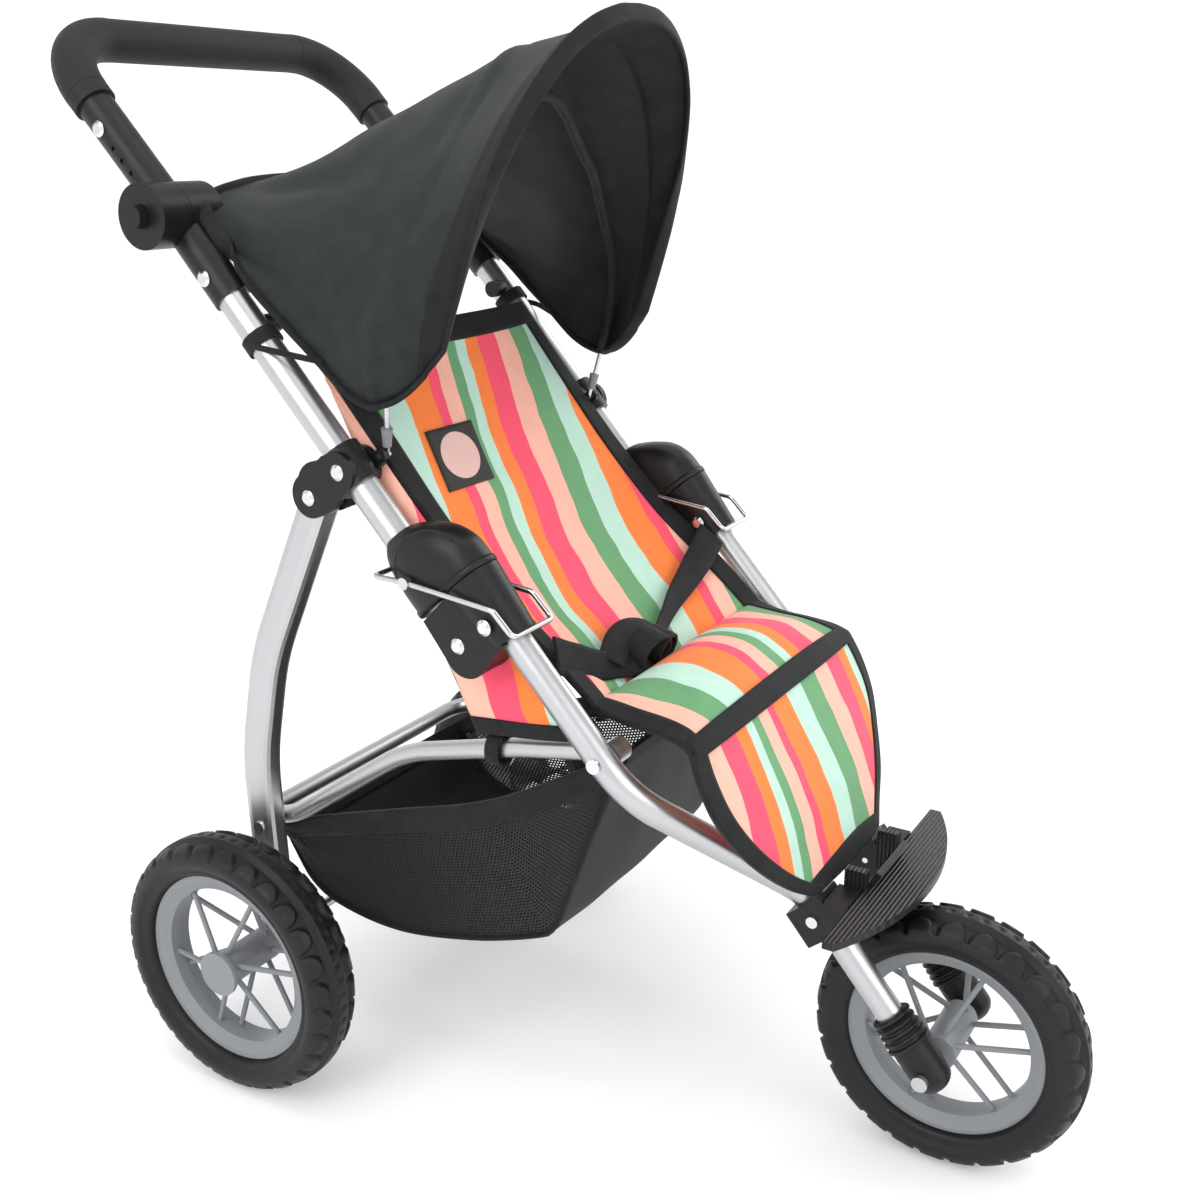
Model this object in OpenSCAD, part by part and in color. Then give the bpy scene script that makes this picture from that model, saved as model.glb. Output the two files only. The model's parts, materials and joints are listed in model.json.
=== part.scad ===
// Three-wheeled doll stroller with a folding tube frame.
// Side-view points are [y, z] measured from the floor below the rear axle, front towards -Y.
// The right side is -X. Every paired piece is drawn on the right and mirrored to the left.

/* [Wheels] */
// Radius of each rear tyre
rear_tyre_r = 75; // [73:0.5:76]
// Radius of the front tyre
front_tyre_r = 70.8; // [69:0.2:71.4]
// Width of every tyre
tyre_w = 32; // [28:1:33]
// Radius of the rear rims
rear_rim_r = 55; // [53:0.5:56]
// Radius of the front rim
front_rim_r = 52; // [50:0.5:53]
// Distance of each rear wheel's middle from the centre line
rear_track = 141; // [140:0.5:144]
// Number of spokes in each wheel
spokes = 12; // [8:2:14]

/* [Frame] */
// Distance of the side tubes from the centre line
half_w = 108.7; // [108:0.1:109.2]
// Radius of the upper frame tubes
upper_r = 8; // [7.5:0.1:8]
// Radius of the lower frame tubes
lower_r = 7.2; // [6.5:0.1:7.3]
// Wall of the frame tubes
wall = 1.2; // [0.8:0.1:1.6]
// Radius of the lower side bars
bar_r = 5; // [4.5:0.1:5]
// Slope of the handle tubes from the floor
tube_angle = 47.9; // [47.9]

/* [Handle] */
// Radius of the foam grip
foam_r = 11; // [10:0.2:11.2]
// Distance from the knuckle axis to the cross bar of the handle
handle_len = 118; // [116:1:124]
// Radius of the knuckle barrels
knuckle_r = 16; // [15:0.5:16]

/* [Soft parts] */
// Thickness of the seat panels
seat_t = 4; // [3:0.5:4]
// Thickness of the seat pad
pad_t = 12; // [10:1:12]
// Thickness of the canopy and basket walls
cloth_t = 2; // [1.5:0.5:2.5]

/* [Hidden] */
$fn = 64;
RIGHT = 0;
LEFT = 1;

// Axles and pivots of the folding frame
rear_axle = [0, rear_tyre_r];
front_axle = [-358.2, front_tyre_r];
fold_pivot = [-141.5, 279.8];
bar_pivot = [-214.7, 233.5];
// Clearance in a bore, and between parts that pass each other
run = 0.05;
gap = 0.3;
// Growth of a bent or rounded piece over the straight it joins, and their overlap
hair = 0.02;
bend_gain = 1.0125;
lap = 0.3;
// Distance from a side tube's middle to the outer face of the plates around it
skin_r = 11.1;

// Unit vectors along and across the handle tubes, in the side view
along = [cos(tube_angle), sin(tube_angle)];
across = [-sin(tube_angle), cos(tube_angle)];
// Offset of the lower tube in front of the upper tube
tube_gap = 23;
knuckle = fold_pivot + 259.4 * along + 0.5 * across;
handle_angle = tube_angle - 1.5;
leg_at = [104.4, -24.5];
leg_pivot = tube_pt(leg_at);
bow_pivot = [-84, 370];

function tube_pt(p) = fold_pivot + p[0] * along + p[1] * across;
function at_x(x, p) = [x, p[0], p[1]];
function tube_x(p, x = -half_w) = at_x(x, tube_pt(p));
function unit(v) = v / norm(v);
function turn(p, i) = acos(unit(p[i] - p[i - 1]) * unit(p[i + 1] - p[i]));
// Length that a bend takes from the straight on each side of its corner
function cut(p, r, i) = i == 0 || i == len(p) - 1 ? 0 : r[i] * tan(turn(p, i) / 2);

module place() { translate([0, rear_y, 0]) children(); }
module on(side) { place() mirror([side, 0, 0]) children(); }
module both() {
    place() for (s = [RIGHT, LEFT]) mirror([s, 0, 0]) children();
}
// Children drawn along +Z are laid from a towards b
module aim(a, b) {
    d = b - a;
    translate(a) rotate([0, acos(d[2] / norm(d)), atan2(d[1], d[0])]) children();
}
// Children drawn in the plane of the side view, extruded from x0 to x1
module side_plate(x0, x1) {
    multmatrix([[0, 0, 1, x0], [1, 0, 0, 0], [0, 1, 0, 0], [0, 0, 0, 1]])
        linear_extrude(x1 - x0) children();
}
// Local frame of the upper tube: children drawn with X along and Y across the tube
module tube_frame() {
    translate([fold_pivot[0], fold_pivot[1]]) rotate(tube_angle) children();
}
module cross_pin(p, x0, x1, r) {
    translate([x0, p[0], p[1]]) rotate([0, 90, 0]) cylinder(h = x1 - x0, r = r);
}
module ring2d(r, w) {
    difference() {
        circle(r);
        if (w > 0) circle(r - w);
    }
}
// A straight length of the child section from a to b
module straight(a, b) {
    aim(a, b) linear_extrude(norm(b - a)) children();
}
// A bend of radius rb at corner b between a and c
module elbow(a, b, c, rb) {
    d1 = unit(b - a);
    d2 = unit(c - b);
    t = acos(d1 * d2);
    n = (d2 - (d2 * d1) * d1) / sin(t);
    k = cross(d1, n);
    o = b - d1 * rb * tan(t / 2) + n * rb;
    multmatrix([[-n[0], d1[0], k[0], o[0]], [-n[1], d1[1], k[1], o[1]],
                [-n[2], d1[2], k[2], o[2]], [0, 0, 0, 1]])
        rotate_extrude(angle = t, $fn = 96) translate([rb, 0]) children();
}
// A round rod through corner points p with bend radii r
// Bends are thicker than the straights by bend_gain, and the straights reach lap into them
module rod(p, r, rod_r, reach = 0) {
    n = len(p);
    for (i = [0 : n - 2]) {
        d = unit(p[i + 1] - p[i]);
        a = p[i] + d * (i == 0 ? -reach : cut(p, r, i) - lap);
        b = p[i + 1] - d * (i == n - 2 ? -reach : cut(p, r, i + 1) - lap);
        straight(a, b) circle(rod_r);
    }
    for (i = [1 : n - 2]) elbow(p[i - 1], p[i], p[i + 1], r[i]) circle(rod_r * bend_gain);
}
// The same as a tube of wall w, open at both ends
module tube(p, r, tube_r, w) {
    difference() {
        rod(p, r, tube_r);
        rod(p, r, tube_r - w, 1);
    }
}

/* ---- front frame ---- */
fork_x = 34.6;
fork_bend = [-fork_x, -291.5, 150];
fork_end = at_x(-fork_x, front_axle);
fork_dir = unit(fork_end - fork_bend);
lower_pts = [tube_x([18, tube_gap]), [-half_w, -227.7, 218.7], fork_bend, fork_end + 6 * fork_dir];
lower_bends = [0, 55, 40, 0];
rivet_at = [-2.2, tube_gap];

module lower_tube(side) {
    color("silver") on(side) difference() {
        tube(lower_pts, lower_bends, lower_r, wall);
        cross_pin(tube_pt(rivet_at), -130, -90, 2.05);
        cross_pin(bar_pivot, -130, -90, 2.05);
        cross_pin(front_axle, -60, -20, 2.55);
        cross_pin([-298.3, 141.8], -60, -20, 1.55);
    }
}

cheek_x = half_w - skin_r;
// Outline of the latch's cheek plates in the tube frame
module cheek_outline() {
    difference() {
        union() {
            translate([-5.7, 1.5]) circle(12);
            polygon([[-6, -10.5], [20, -8.4], [22, tube_gap], [-14, tube_gap], [-17.6, 0]]);
        }
        translate([21.9, -20]) square([20, 80]);
        // The rim by the pivot is an arc, so that the dome can turn past it
        difference() {
            translate([0, -30]) square([40, 30]);
            circle(21.9);
        }
    }
}
module latch_shell(side) {
    color("#1a1a1b") on(side) difference() {
        union() {
            side_plate(-half_w - skin_r, -cheek_x) tube_frame() cheek_outline();
            aim(tube_x([-13, tube_gap]), tube_x([21.9, tube_gap])) cylinder(h = 34.9, r1 = 11.6, r2 = 14.4);
        }
        // Bore for the lower tube
        aim(tube_x([-30, tube_gap]), tube_x([18, tube_gap])) cylinder(h = 48, r = lower_r);
        // Slot in which the upper tube swings
        side_plate(-half_w - upper_r - gap, -half_w + upper_r + gap) tube_frame() {
            circle(12.6);
            translate([-40, -60]) square([100, 60]);
            translate([-30, -20]) square([30, 22]);
            translate([0, -20]) square([40, upper_r + 20 + gap]);
        }
        cross_pin(tube_pt(rivet_at), -130, -90, 2.05);
        cross_pin(fold_pivot, -130, -90, 2.05);
    }
}
// A rivet with a domed head on each face
module rivet(p, x0, x1, r = 2) {
    cross_pin(p, x0, x1, r);
    for (e = [[x0, -90], [x1, 90]]) translate([e[0], p[0], p[1]]) rotate([0, e[1], 0])
        cylinder(h = 1.1, r1 = 4, r2 = 2.6);
}
module latch_rivets() {
    color("silver") both() rivet(tube_pt(rivet_at), -123.9, -93.5);
}
module fold_pins() {
    color("silver") both() rivet(fold_pivot, -half_w - skin_r, -cheek_x);
}

boot_start = fork_end - 33 * fork_dir;
module fork_boot(side) {
    color("#141414") on(side) difference() {
        aim(boot_start, fork_end) rotate_extrude() polygon([
            [0, 0], [9, 0], [9.6, 1.5], [8.6, 3], [10, 4.5], [9, 6.5], [10.3, 8.5], [9.3, 10.5],
            [10.6, 12.5], [9.8, 14], [10.2, 20], [10.2, 36], for (a = [0 : 10 : 90])
            [10.2 * cos(a), 36 + 8 * sin(a)]]);
        aim(boot_start - 5 * fork_dir, fork_end) cylinder(h = 5 + 33 + 6, r = lower_r);
        cross_pin(front_axle, -60, -20, 2.55);
    }
}
module front_axle_bolt() {
    color("silver") place() {
        cross_pin(front_axle, -45.4, 45.4, 2.5);
        for (s = [-1, 1]) translate([s * 46.9, front_axle[0], front_axle[1]])
            rotate([0, 90, 0]) cylinder(h = 3, r = 4, center = true);
    }
}

/* ---- footrest ---- */
step_z = 150;
step_y = -316;
step_depth = 27;
step_t = 4;
// Radius of the step's bowed front edge, and half its length
step_bow = 158;
step_half = 79;
bolt_at = [-298.3, 141.8];
// Half outline of the step: straight rear edge, bowed front edge
module step_outline() {
    intersection() {
        translate([0, step_y - step_depth + step_bow]) circle(step_bow);
        translate([-90, step_y - 60]) square([180, 60]);
        translate([0, step_y - 2]) circle(step_half);
    }
}
module footrest() {
    color("#1c1c1d") place() {
        translate([0, 0, step_z]) linear_extrude(step_t) step_outline();
        // Raised panel and the two posts between the fork tubes
        translate([-20, step_y - 1, step_z]) rotate([28, 0, 0]) translate([0, 0, -3]) cube([40, 3, 16]);
        for (x = [-26, 21]) translate([x, step_y - 1, step_z - 8]) cube([5, 11, 22]);
        translate([-26, step_y - 1, step_z - 8]) cube([52, 5, 8]);
    }
}
module footrest_brackets() {
    color("#161617") both() difference() {
        union() {
            aim(at_x(-fork_x, bolt_at) - 9 * fork_dir, at_x(-fork_x, bolt_at) + 11 * fork_dir)
                translate([-11, -11.5, 0]) cube([22, 20, 20]);
            translate([-46, step_y + 0.2, step_z - 15]) cube([19.5, 12, 20]);
        }
        rod(lower_pts, lower_bends, lower_r);
        cross_pin(bolt_at, -60, -20, 1.55);
    }
}
module footrest_screws() {
    color("silver") both() {
        cross_pin(bolt_at, -47, -26, 1.5);
        cross_pin(bolt_at, -47.7, -46.1, 3);
    }
}

/* ---- wheels ---- */
module tyre(p, x, r, rim_r) {
    w = tyre_w / 2;
    translate([x, p[0], p[1]]) rotate([0, 90, 0]) rotate_extrude($fn = 128) polygon([
        [rim_r + 0.1, -w + 5], [rim_r + 5, -w + 1], [rim_r + 11, -w], for (a = [-60 : 15 : 60])
        [r - 9 + 9 * cos(a), (w - 1) * sin(a)/sin(60)], [rim_r + 11, w], [rim_r + 5, w - 1],
        [rim_r + 0.1, w - 5]]);
}
// A spoked rim with its hub; hub reaches from x0 to x1 about the rim's middle
module rim(p, x, rim_r, x0, x1, hub_r, bore_r) {
    translate([x, p[0], p[1]]) rotate([0, 90, 0]) difference() {
        union() {
            rotate_extrude($fn = 128) polygon([
                [rim_r, -9.8], [rim_r, 9.8], [rim_r - 3, 9.8], [rim_r - 9, 6.5], [rim_r - 9.5, 0],
                [rim_r - 9, -6.5], [rim_r - 3, -9.8]]);
            translate([0, 0, x0]) cylinder(h = x1 - x0, r = hub_r);
            for (i = [0 : spokes - 1]) {
                near = i % 2 == 0;
                a0 = i * 360 / spokes;
                a1 = a0 + (near ? 22 : -22);
                z0 = near ? x0 + 5 : x1 - 5;
                aim([(hub_r - 2) * cos(a0), (hub_r - 2) * sin(a0), z0],
                    [(rim_r - 6) * cos(a1), (rim_r - 6) * sin(a1), near ? -2 : 2])
                    cylinder(h = norm([(rim_r - 6) * cos(a1) - (hub_r - 2) * cos(a0),
                        (rim_r - 6) * sin(a1) - (hub_r - 2) * sin(a0), (near ? -2 : 2) - z0]),
                        r = 1.5, $fn = 24);
            }
        }
        translate([0, 0, x0 - 1]) cylinder(h = x1 - x0 + 2, r = bore_r);
    }
}
module front_tyre() { color("#151515") place() tyre(front_axle, 0, front_tyre_r, front_rim_r); }
module front_rim() {
    color("#969b9f") place() rim(front_axle, 0, front_rim_r, -19, 19, 9, 2.5 + run);
}
module rear_tyre(side) {
    color("#151515") on(side) tyre(rear_axle, -rear_track, rear_tyre_r, rear_rim_r);
}
module rear_rim(side) {
    color("#969b9f") on(side) rim(rear_axle, -rear_track, rear_rim_r, -14.6, 22, 9.5, 3 + run);
}
module rear_cap(side) {
    color("#a2a6a8") on(side) cross_pin(rear_axle, -rear_track - 17, -rear_track - 14.6, 12.7);
}

/* ---- upper frame ---- */
module upper_tube(side) {
    color("silver") on(side) difference() {
        straight(tube_x([-5, 0]), tube_x([236, 0])) ring2d(upper_r, wall);
        cross_pin(fold_pivot, -130, -90, 2.05);
        cross_pin(tube_pt([102.4, 0]), -130, -90, 2.05);
        cross_pin(tube_pt([220.5, 0]), -130, -90, 2.05);
    }
}
// Outline of the latch dome in the tube frame
module dome_outline() {
    difference() {
        union() {
            translate([22.2, -9.4]) square([24, 46.6]);
            translate([46, 4]) circle(13.4);
            translate([43, 17]) circle(18);
            translate([24, 18]) square([16, 19.2]);
        }
        translate([-20, -0.01]) square([42.2, 60]);
        circle(22.2);
        translate([24, 37.2]) square([40, 20]);
    }
}
module latch_dome(side) {
    color("#1a1a1b") on(side) difference() {
        intersection() {
            side_plate(-half_w - 13.5, -half_w + 13.5) tube_frame() dome_outline();
            // Rounded back: two fat tubes side by side and the web between them
            union() {
                aim(tube_x([10, 0]), tube_x([70, 0])) cylinder(h = 60, r = 13.4);
                aim(tube_x([10, tube_gap]), tube_x([70, tube_gap])) cylinder(h = 60, r = 14.3);
                side_plate(-half_w - skin_r, -cheek_x) tube_frame()
                    translate([10, 0]) square([60, tube_gap]);
            }
        }
        aim(tube_x([0, 0]), tube_x([80, 0])) cylinder(h = 80, r = upper_r);
        // Hollow over the end of the lower tube
        aim(tube_x([20, tube_gap]), tube_x([46, tube_gap])) cylinder(h = 26, r = 9.5);
        cross_pin(tube_pt(lever_at), -130, -90, 1.45);
    }
}

module bracket_outline() {
    union() {
        translate([104, -15]) circle(13.3);
        translate([104.4, -22.5]) circle(11.3);
        translate([102.6, -1]) circle(10.6);
        translate([92, -16]) square([22, 14]);
    }
}
module leg_bracket(side) {
    color("#1a1a1b") on(side) difference() {
        union() {
            side_plate(-half_w - skin_r, -half_w - skin_r + 4) tube_frame() bracket_outline();
            side_plate(-cheek_x - 4, -cheek_x) tube_frame() bracket_outline();
            aim(tube_x([92, 0]), tube_x([113, 0])) cylinder(h = 21, r = 10.6);
            cross_pin(leg_pivot, -half_w - skin_r, -half_w - leg_t / 2 - gap, 6);
            cross_pin(leg_pivot, -half_w + leg_t / 2 + gap, -cheek_x, 6);
            // Nose that carries the sleeve of the canopy bow
            cross_pin(bow_foot, -cheek_x - 4, -cheek_x - gap, 3.6);
            side_plate(-cheek_x - 4, -cheek_x - gap) tube_frame() translate([95.4, 4.2]) square([7.2, 8.4]);
        }
        aim(tube_x([80, 0]), tube_x([120, 0])) cylinder(h = 40, r = upper_r);
        cross_pin(tube_pt([102.4, 0]), -130, -90, 2.05);
        cross_pin(leg_pivot, -130, -90, 2.05);
        cross_pin(bow_foot, -110, -90, 1.5 + run);
    }
}
module lower_arm(side) {
    color("#1d1d1e") on(side) difference() {
        union() {
            difference() {
                aim(tube_x([207, 0]), at_x(-half_w, knuckle)) cylinder(h = 52.4, r = 9.6);
                cross_pin(knuckle, -140, -half_w - 4.1, knuckle_r + gap);
            }
            cross_pin(knuckle, -half_w - 4.1 + gap, -91, knuckle_r);
        }
        aim(tube_x([200, 0]), tube_x([236, 0])) cylinder(h = 36, r = upper_r);
        cross_pin(tube_pt([220.5, 0]), -130, -90, 2.05);
        cross_pin(knuckle, -140, -88, 4 + run);
    }
}
module arm_rivets() {
    color("silver") both() {
        rivet(tube_pt([102.4, 0]), -half_w - skin_r, -cheek_x);
        rivet(tube_pt([220.5, 0]), -half_w - 9.9, -half_w + 9.9);
    }
}
// The pin on which each knuckle turns, hollow for the push button
module knuckle_pins() {
    color("#2a2a2b") both() difference() {
        cross_pin(knuckle, -125, -91, 4);
        cross_pin(knuckle, -129, -110, 2.6);
    }
}
module canopy_knobs() {
    color("#121212") both() difference() {
        cross_pin(tube_pt([189, 2]), -half_w + 5, -half_w + 15, 4.8);
        aim(tube_x([150, 0]), tube_x([205, 0])) cylinder(h = 55, r = upper_r);
    }
}
module canopy_ties() {
    color("#101010") both() aim(tube_x([177, 0]), tube_x([184, 0])) linear_extrude(7) ring2d(9.6, 1.5);
}

/* ---- seat ---- */
back_top = 168;
back_low = 30;
module seat_back() {
    color("#e8907c") place() side_plate(-88, 88) tube_frame()
        translate([back_low, 9]) square([back_top - back_low, seat_t]);
}
module label_patch() {
    color("#2b2b2b") place() side_plate(-50, -20) tube_frame()
        translate([80, 9 + seat_t]) square([26, 0.8]);
}
crease = tube_pt([-58, 14]);
knee = [-262, 238];
module seat_base() {
    color("#7fb483") place() side_plate(-86, 86) {
        tube_frame() translate([-58, 9]) square([84, seat_t]);
        polygon([crease + [2, 1], crease + [-30, 6], [-240, 250], knee, knee + [4, -pad_t],
                 crease + [-20, -pad_t - 4], crease + [4, -6]]);
    }
}
// Leg panel that hangs from the knee edge and narrows to the footrest
module leg_flap() {
    top_w = 84;
    low_w = 30;
    a = [knee[0] - 0.5, knee[1] + 1];
    b = [-302, 156.5];
    t = seat_t / 2;
    color("#e8907c") place() polyhedron(
        points = [[-top_w, a[0], a[1]], [top_w, a[0], a[1]], [low_w, b[0], b[1]], [-low_w, b[0], b[1]],
                  [-top_w, a[0] - t, a[1] + t], [top_w, a[0] - t, a[1] + t],
                  [low_w, b[0] - t, b[1] + t], [-low_w, b[0] - t, b[1] + t]],
        faces = [[0, 1, 2, 3], [7, 6, 5, 4], [4, 5, 1, 0], [5, 6, 2, 1], [6, 7, 3, 2], [7, 4, 0, 3]]);
}
belt_y = crease[0];
belt_z = crease[1] + 14;
module lap_belt() {
    color("#141414") both() straight([-84, belt_y + 6, belt_z + 10], [-16, belt_y - 24, belt_z + 2])
        square([12, 1.5], center = true);
}
module belt_buckle() {
    color("#101010") place() translate([0, belt_y - 25, belt_z + 1]) rotate([20, 0, 0])
        cube([30, 20, 7], center = true);
}

/* ---- handle ---- */
hand = [cos(handle_angle), sin(handle_angle)];
function grip_pt(d) = knuckle + d * hand;
// The rear axle lies this far behind the middle of the whole object
rear_y = (front_tyre_r - front_axle[0] - grip_pt(handle_len)[0] - foam_r) / 2;
grip_bend = 38;
foam_start = 71.7;
module upper_arm(side) {
    color("#1d1d1e") on(side) difference() {
        union() {
            difference() {
                aim(at_x(-half_w, grip_pt(6)), at_x(-half_w, grip_pt(foam_start))) cylinder(h = foam_start - 6, r = 9.3);
                cross_pin(knuckle, -half_w - 4.1, -80, knuckle_r + gap);
            }
            cross_pin(knuckle, -130.7, -half_w - 4.1, knuckle_r);
        }
        aim(at_x(-half_w, grip_pt(24)), at_x(-half_w, grip_pt(90))) cylinder(h = 66, r = 7.5);
        cross_pin(grip_pt(56), -130, -90, 1.8);
        for (d = [27, 35, 43]) cross_pin(grip_pt(d), -125, -half_w - 7, 1.2, $fn = 24);
        cross_pin(knuckle, -128, -100, 4 + run);
        cross_pin(knuckle, -140, -125.2, 5.8);
    }
}
module grip_path(r, w, d0) {
    tube([at_x(-half_w, grip_pt(d0)), at_x(-half_w, grip_pt(handle_len)),
          at_x(half_w, grip_pt(handle_len)), at_x(half_w, grip_pt(d0))],
         [0, grip_bend, grip_bend, 0], r, w);
}
module handle_tube() {
    color("silver") place() difference() {
        grip_path(7.5, wall, 24);
        cross_pin(grip_pt(56), -130, 130, 1.8);
    }
}
module foam_grip() { color("#1b1b1c") place() grip_path(foam_r, foam_r - 7.5, foam_start + 0.1); }
module grip_rivets() {
    color("silver") both() rivet(grip_pt(56), -half_w - 9.5, -half_w + 9.5, 1.75);
}
// Push button in the outer face of each knuckle, with its stem
module knuckle_button(side) {
    color("#262627") on(side) {
        cross_pin(knuckle, -136.5, -128.6, 5.5);
        cross_pin(knuckle, -128.7, -119.5, 2.5);
    }
}

/* ---- latch wires ---- */
lever_at = [38.4, 1];
wire_r = 1.4;
wire_x = 16.6;
module latch_wire(side) {
    xo = -half_w - wire_x;
    xi = -half_w + wire_x;
    p = [tube_x([lever_at[0], lever_at[1]], xo), tube_x([1, 34.2], xo), tube_x([-15, 35], xo),
         tube_x([-15, 35], xi), tube_x([1, 34.2], xi), tube_x([lever_at[0], lever_at[1]], xi)];
    q = [tube_x([lever_at[0], lever_at[1]], xo), tube_x([51.7, -13], xo),
         tube_x([51.7, -13], xi), tube_x([lever_at[0], lever_at[1]], xi)];
    color("#c9ccce") on(side) {
        rod(p, [0, 5, 3.4, 3.4, 5, 0], wire_r, $fn = 32);
        rod(q, [0, 3.4, 3.4, 0], wire_r, $fn = 32);
        // Pivot stubs in the dome, with a washer and a head on each side
        cross_pin(tube_pt(lever_at), xo - 2, -half_w - 9, 1.4);
        cross_pin(tube_pt(lever_at), -half_w + 9, xi + 2, 1.4);
        cross_pin(tube_pt(lever_at), xo - 2.4, xo + 1.4, 3);
        cross_pin(tube_pt(lever_at), xi - 1.4, xi + 2.4, 3);
    }
}

/* ---- canopy ---- */
bow_angle = 101;
bow_dir = [cos(bow_angle), sin(bow_angle)];
bow_r = 1.3;
bow_foot = tube_pt([99, 12.6]);
// Corners of the bow's half in its own plane: distance from the centre line, and height above the foot
bow_side = [[95.2, 0], [105.1, 52], [96.6, 82], [59, 131]];
bow_top = 184;
bow_bends = [0, 28, 60, 60, 36, 60, 60, 28, 0];
// Reach of the pegs at the bow's feet, from just inside the bow to inside the leg brackets
peg = [bow_side[0][0] - 1.2, cheek_x + 3.8];
function bow_pt(x, s) = at_x(x, bow_foot + s * bow_dir);
module bow_wire() {
    last = len(bow_side) - 1;
    p = [for (q = bow_side) bow_pt(-q[0], q[1]), bow_pt(0, bow_top),
         for (i = [last : -1 : 0]) bow_pt(bow_side[i][0], bow_side[i][1])];
    color("silver") place() {
        rod(p, bow_bends, bow_r, $fn = 32);
        cross_pin(bow_foot, -peg[1], -peg[0], 1.5);
        cross_pin(bow_foot, peg[0], peg[1], 1.5);
    }
}
module bow_sleeves() {
    foot = bow_pt(-bow_side[0][0], 0);
    way = unit(bow_pt(-bow_side[1][0], bow_side[1][1]) - foot);
    color("#8d9092") both() difference() {
        aim(foot + 4.6 * way, foot + 14 * way) cylinder(h = 9.4, r1 = 2.2, r2 = 2.9);
        aim(foot, foot + 20 * way) cylinder(h = 20, r = bow_r);
    }
}
// Side-view lines of the hood: f is 0 at the rear hem, 1 at the bow, 1.4 at the front edge
brim_f = 1.4;
hem_edge = [17, 485];
hem_ridge = [24, 495];
bow_edge = bow_pivot + 20 * bow_dir;
bow_ridge = bow_pivot + 184 * bow_dir;
brim_edge = [-110, 400];
brim_ridge = [-174, 566];
// Half sections of the hood over its bow and over its front edge, from the hem up to the ridge
bow_section = [[0.955, 0], [1, 0.16], [0.985, 0.25], [0.9, 0.37], [0.77, 0.5], [0.6, 0.655],
               [0.41, 0.79], [0.22, 0.93], [0, 1]];
brim_section = [[1, 0], [0.99, 0.2], [0.98, 0.4], [0.93, 0.55], [0.82, 0.72], [0.63, 0.85],
                [0.4, 0.93], [0.2, 0.98], [0, 1]];
function mix(a, b, f) = a + (b - a) * f;
function brim_mix(f) = max(0, (f - 1) / (brim_f - 1));
function hood_edge(f) = f <= 1 ? mix(hem_edge, bow_edge, f) + 4 * f * (1 - f) * [6, -9]
                               : mix(bow_edge, brim_edge, brim_mix(f));
function hood_ridge(f) = f <= 1 ? mix(hem_ridge, bow_ridge, f) - 4 * f * (1 - f) * [0, 4]
                                : mix(bow_ridge, brim_ridge, brim_mix(f));
function hood_w(f) = f <= 1 ? mix(101, 111, f) : mix(111, 97, brim_mix(f));
// Point i of the section at f, counted from the right hem over the ridge to the left hem
function hood_pt(f, i, t) =
    let (last = len(bow_section) - 1, q = mix(bow_section[min(i, 2 * last - i)],
                                             brim_section[min(i, 2 * last - i)], brim_mix(f)),
         e = hood_edge(f), h = hood_ridge(f) - e)
    at_x((i < last ? -1 : 1) * (hood_w(f) - t) * q[0], e + h * (1 - t / norm(h)) * q[1]);
module canopy() {
    rows = [0, 0.17, 0.33, 0.5, 0.67, 0.83, 1, 1.13, 1.27, brim_f];
    m = len(rows);
    n = 2 * len(bow_section) - 1;
    pts = [for (t = [0, cloth_t], f = rows, i = [0 : n - 1]) hood_pt(f, i, t)];
    function id(t, j, i) = t * m * n + j * n + i;
    skin = [for (j = [0 : m - 2]) for (i = [0 : n - 2]) each [
        [id(0, j, i), id(0, j + 1, i), id(0, j + 1, i + 1)],
        [id(0, j, i), id(0, j + 1, i + 1), id(0, j, i + 1)],
        [id(1, j, i), id(1, j + 1, i + 1), id(1, j + 1, i)],
        [id(1, j, i), id(1, j, i + 1), id(1, j + 1, i + 1)]]];
    ends = [for (i = [0 : n - 2]) each [
        [id(0, 0, i), id(0, 0, i + 1), id(1, 0, i + 1)], [id(0, 0, i), id(1, 0, i + 1), id(1, 0, i)],
        [id(0, m - 1, i + 1), id(0, m - 1, i), id(1, m - 1, i)],
        [id(0, m - 1, i + 1), id(1, m - 1, i), id(1, m - 1, i + 1)]]];
    hems = [for (j = [0 : m - 2]) each [
        [id(0, j + 1, 0), id(0, j, 0), id(1, j, 0)], [id(0, j + 1, 0), id(1, j, 0), id(1, j + 1, 0)],
        [id(0, j, n - 1), id(0, j + 1, n - 1), id(1, j + 1, n - 1)],
        [id(0, j, n - 1), id(1, j + 1, n - 1), id(1, j, n - 1)]]];
    color("#16211f") place()
        polyhedron(points = pts, faces = concat(skin, ends, hems), convexity = 6);
}

/* ---- rear legs ---- */
leg_w = 18;
leg_t = 14;
leg_pts = [at_x(-half_w, leg_pivot), [-half_w, -9, 247], [-half_w, 4.2, 185], at_x(-half_w, rear_axle)];
leg_bends = [0, 150, 150, 0];
bar_end = [2, 145];
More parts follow.
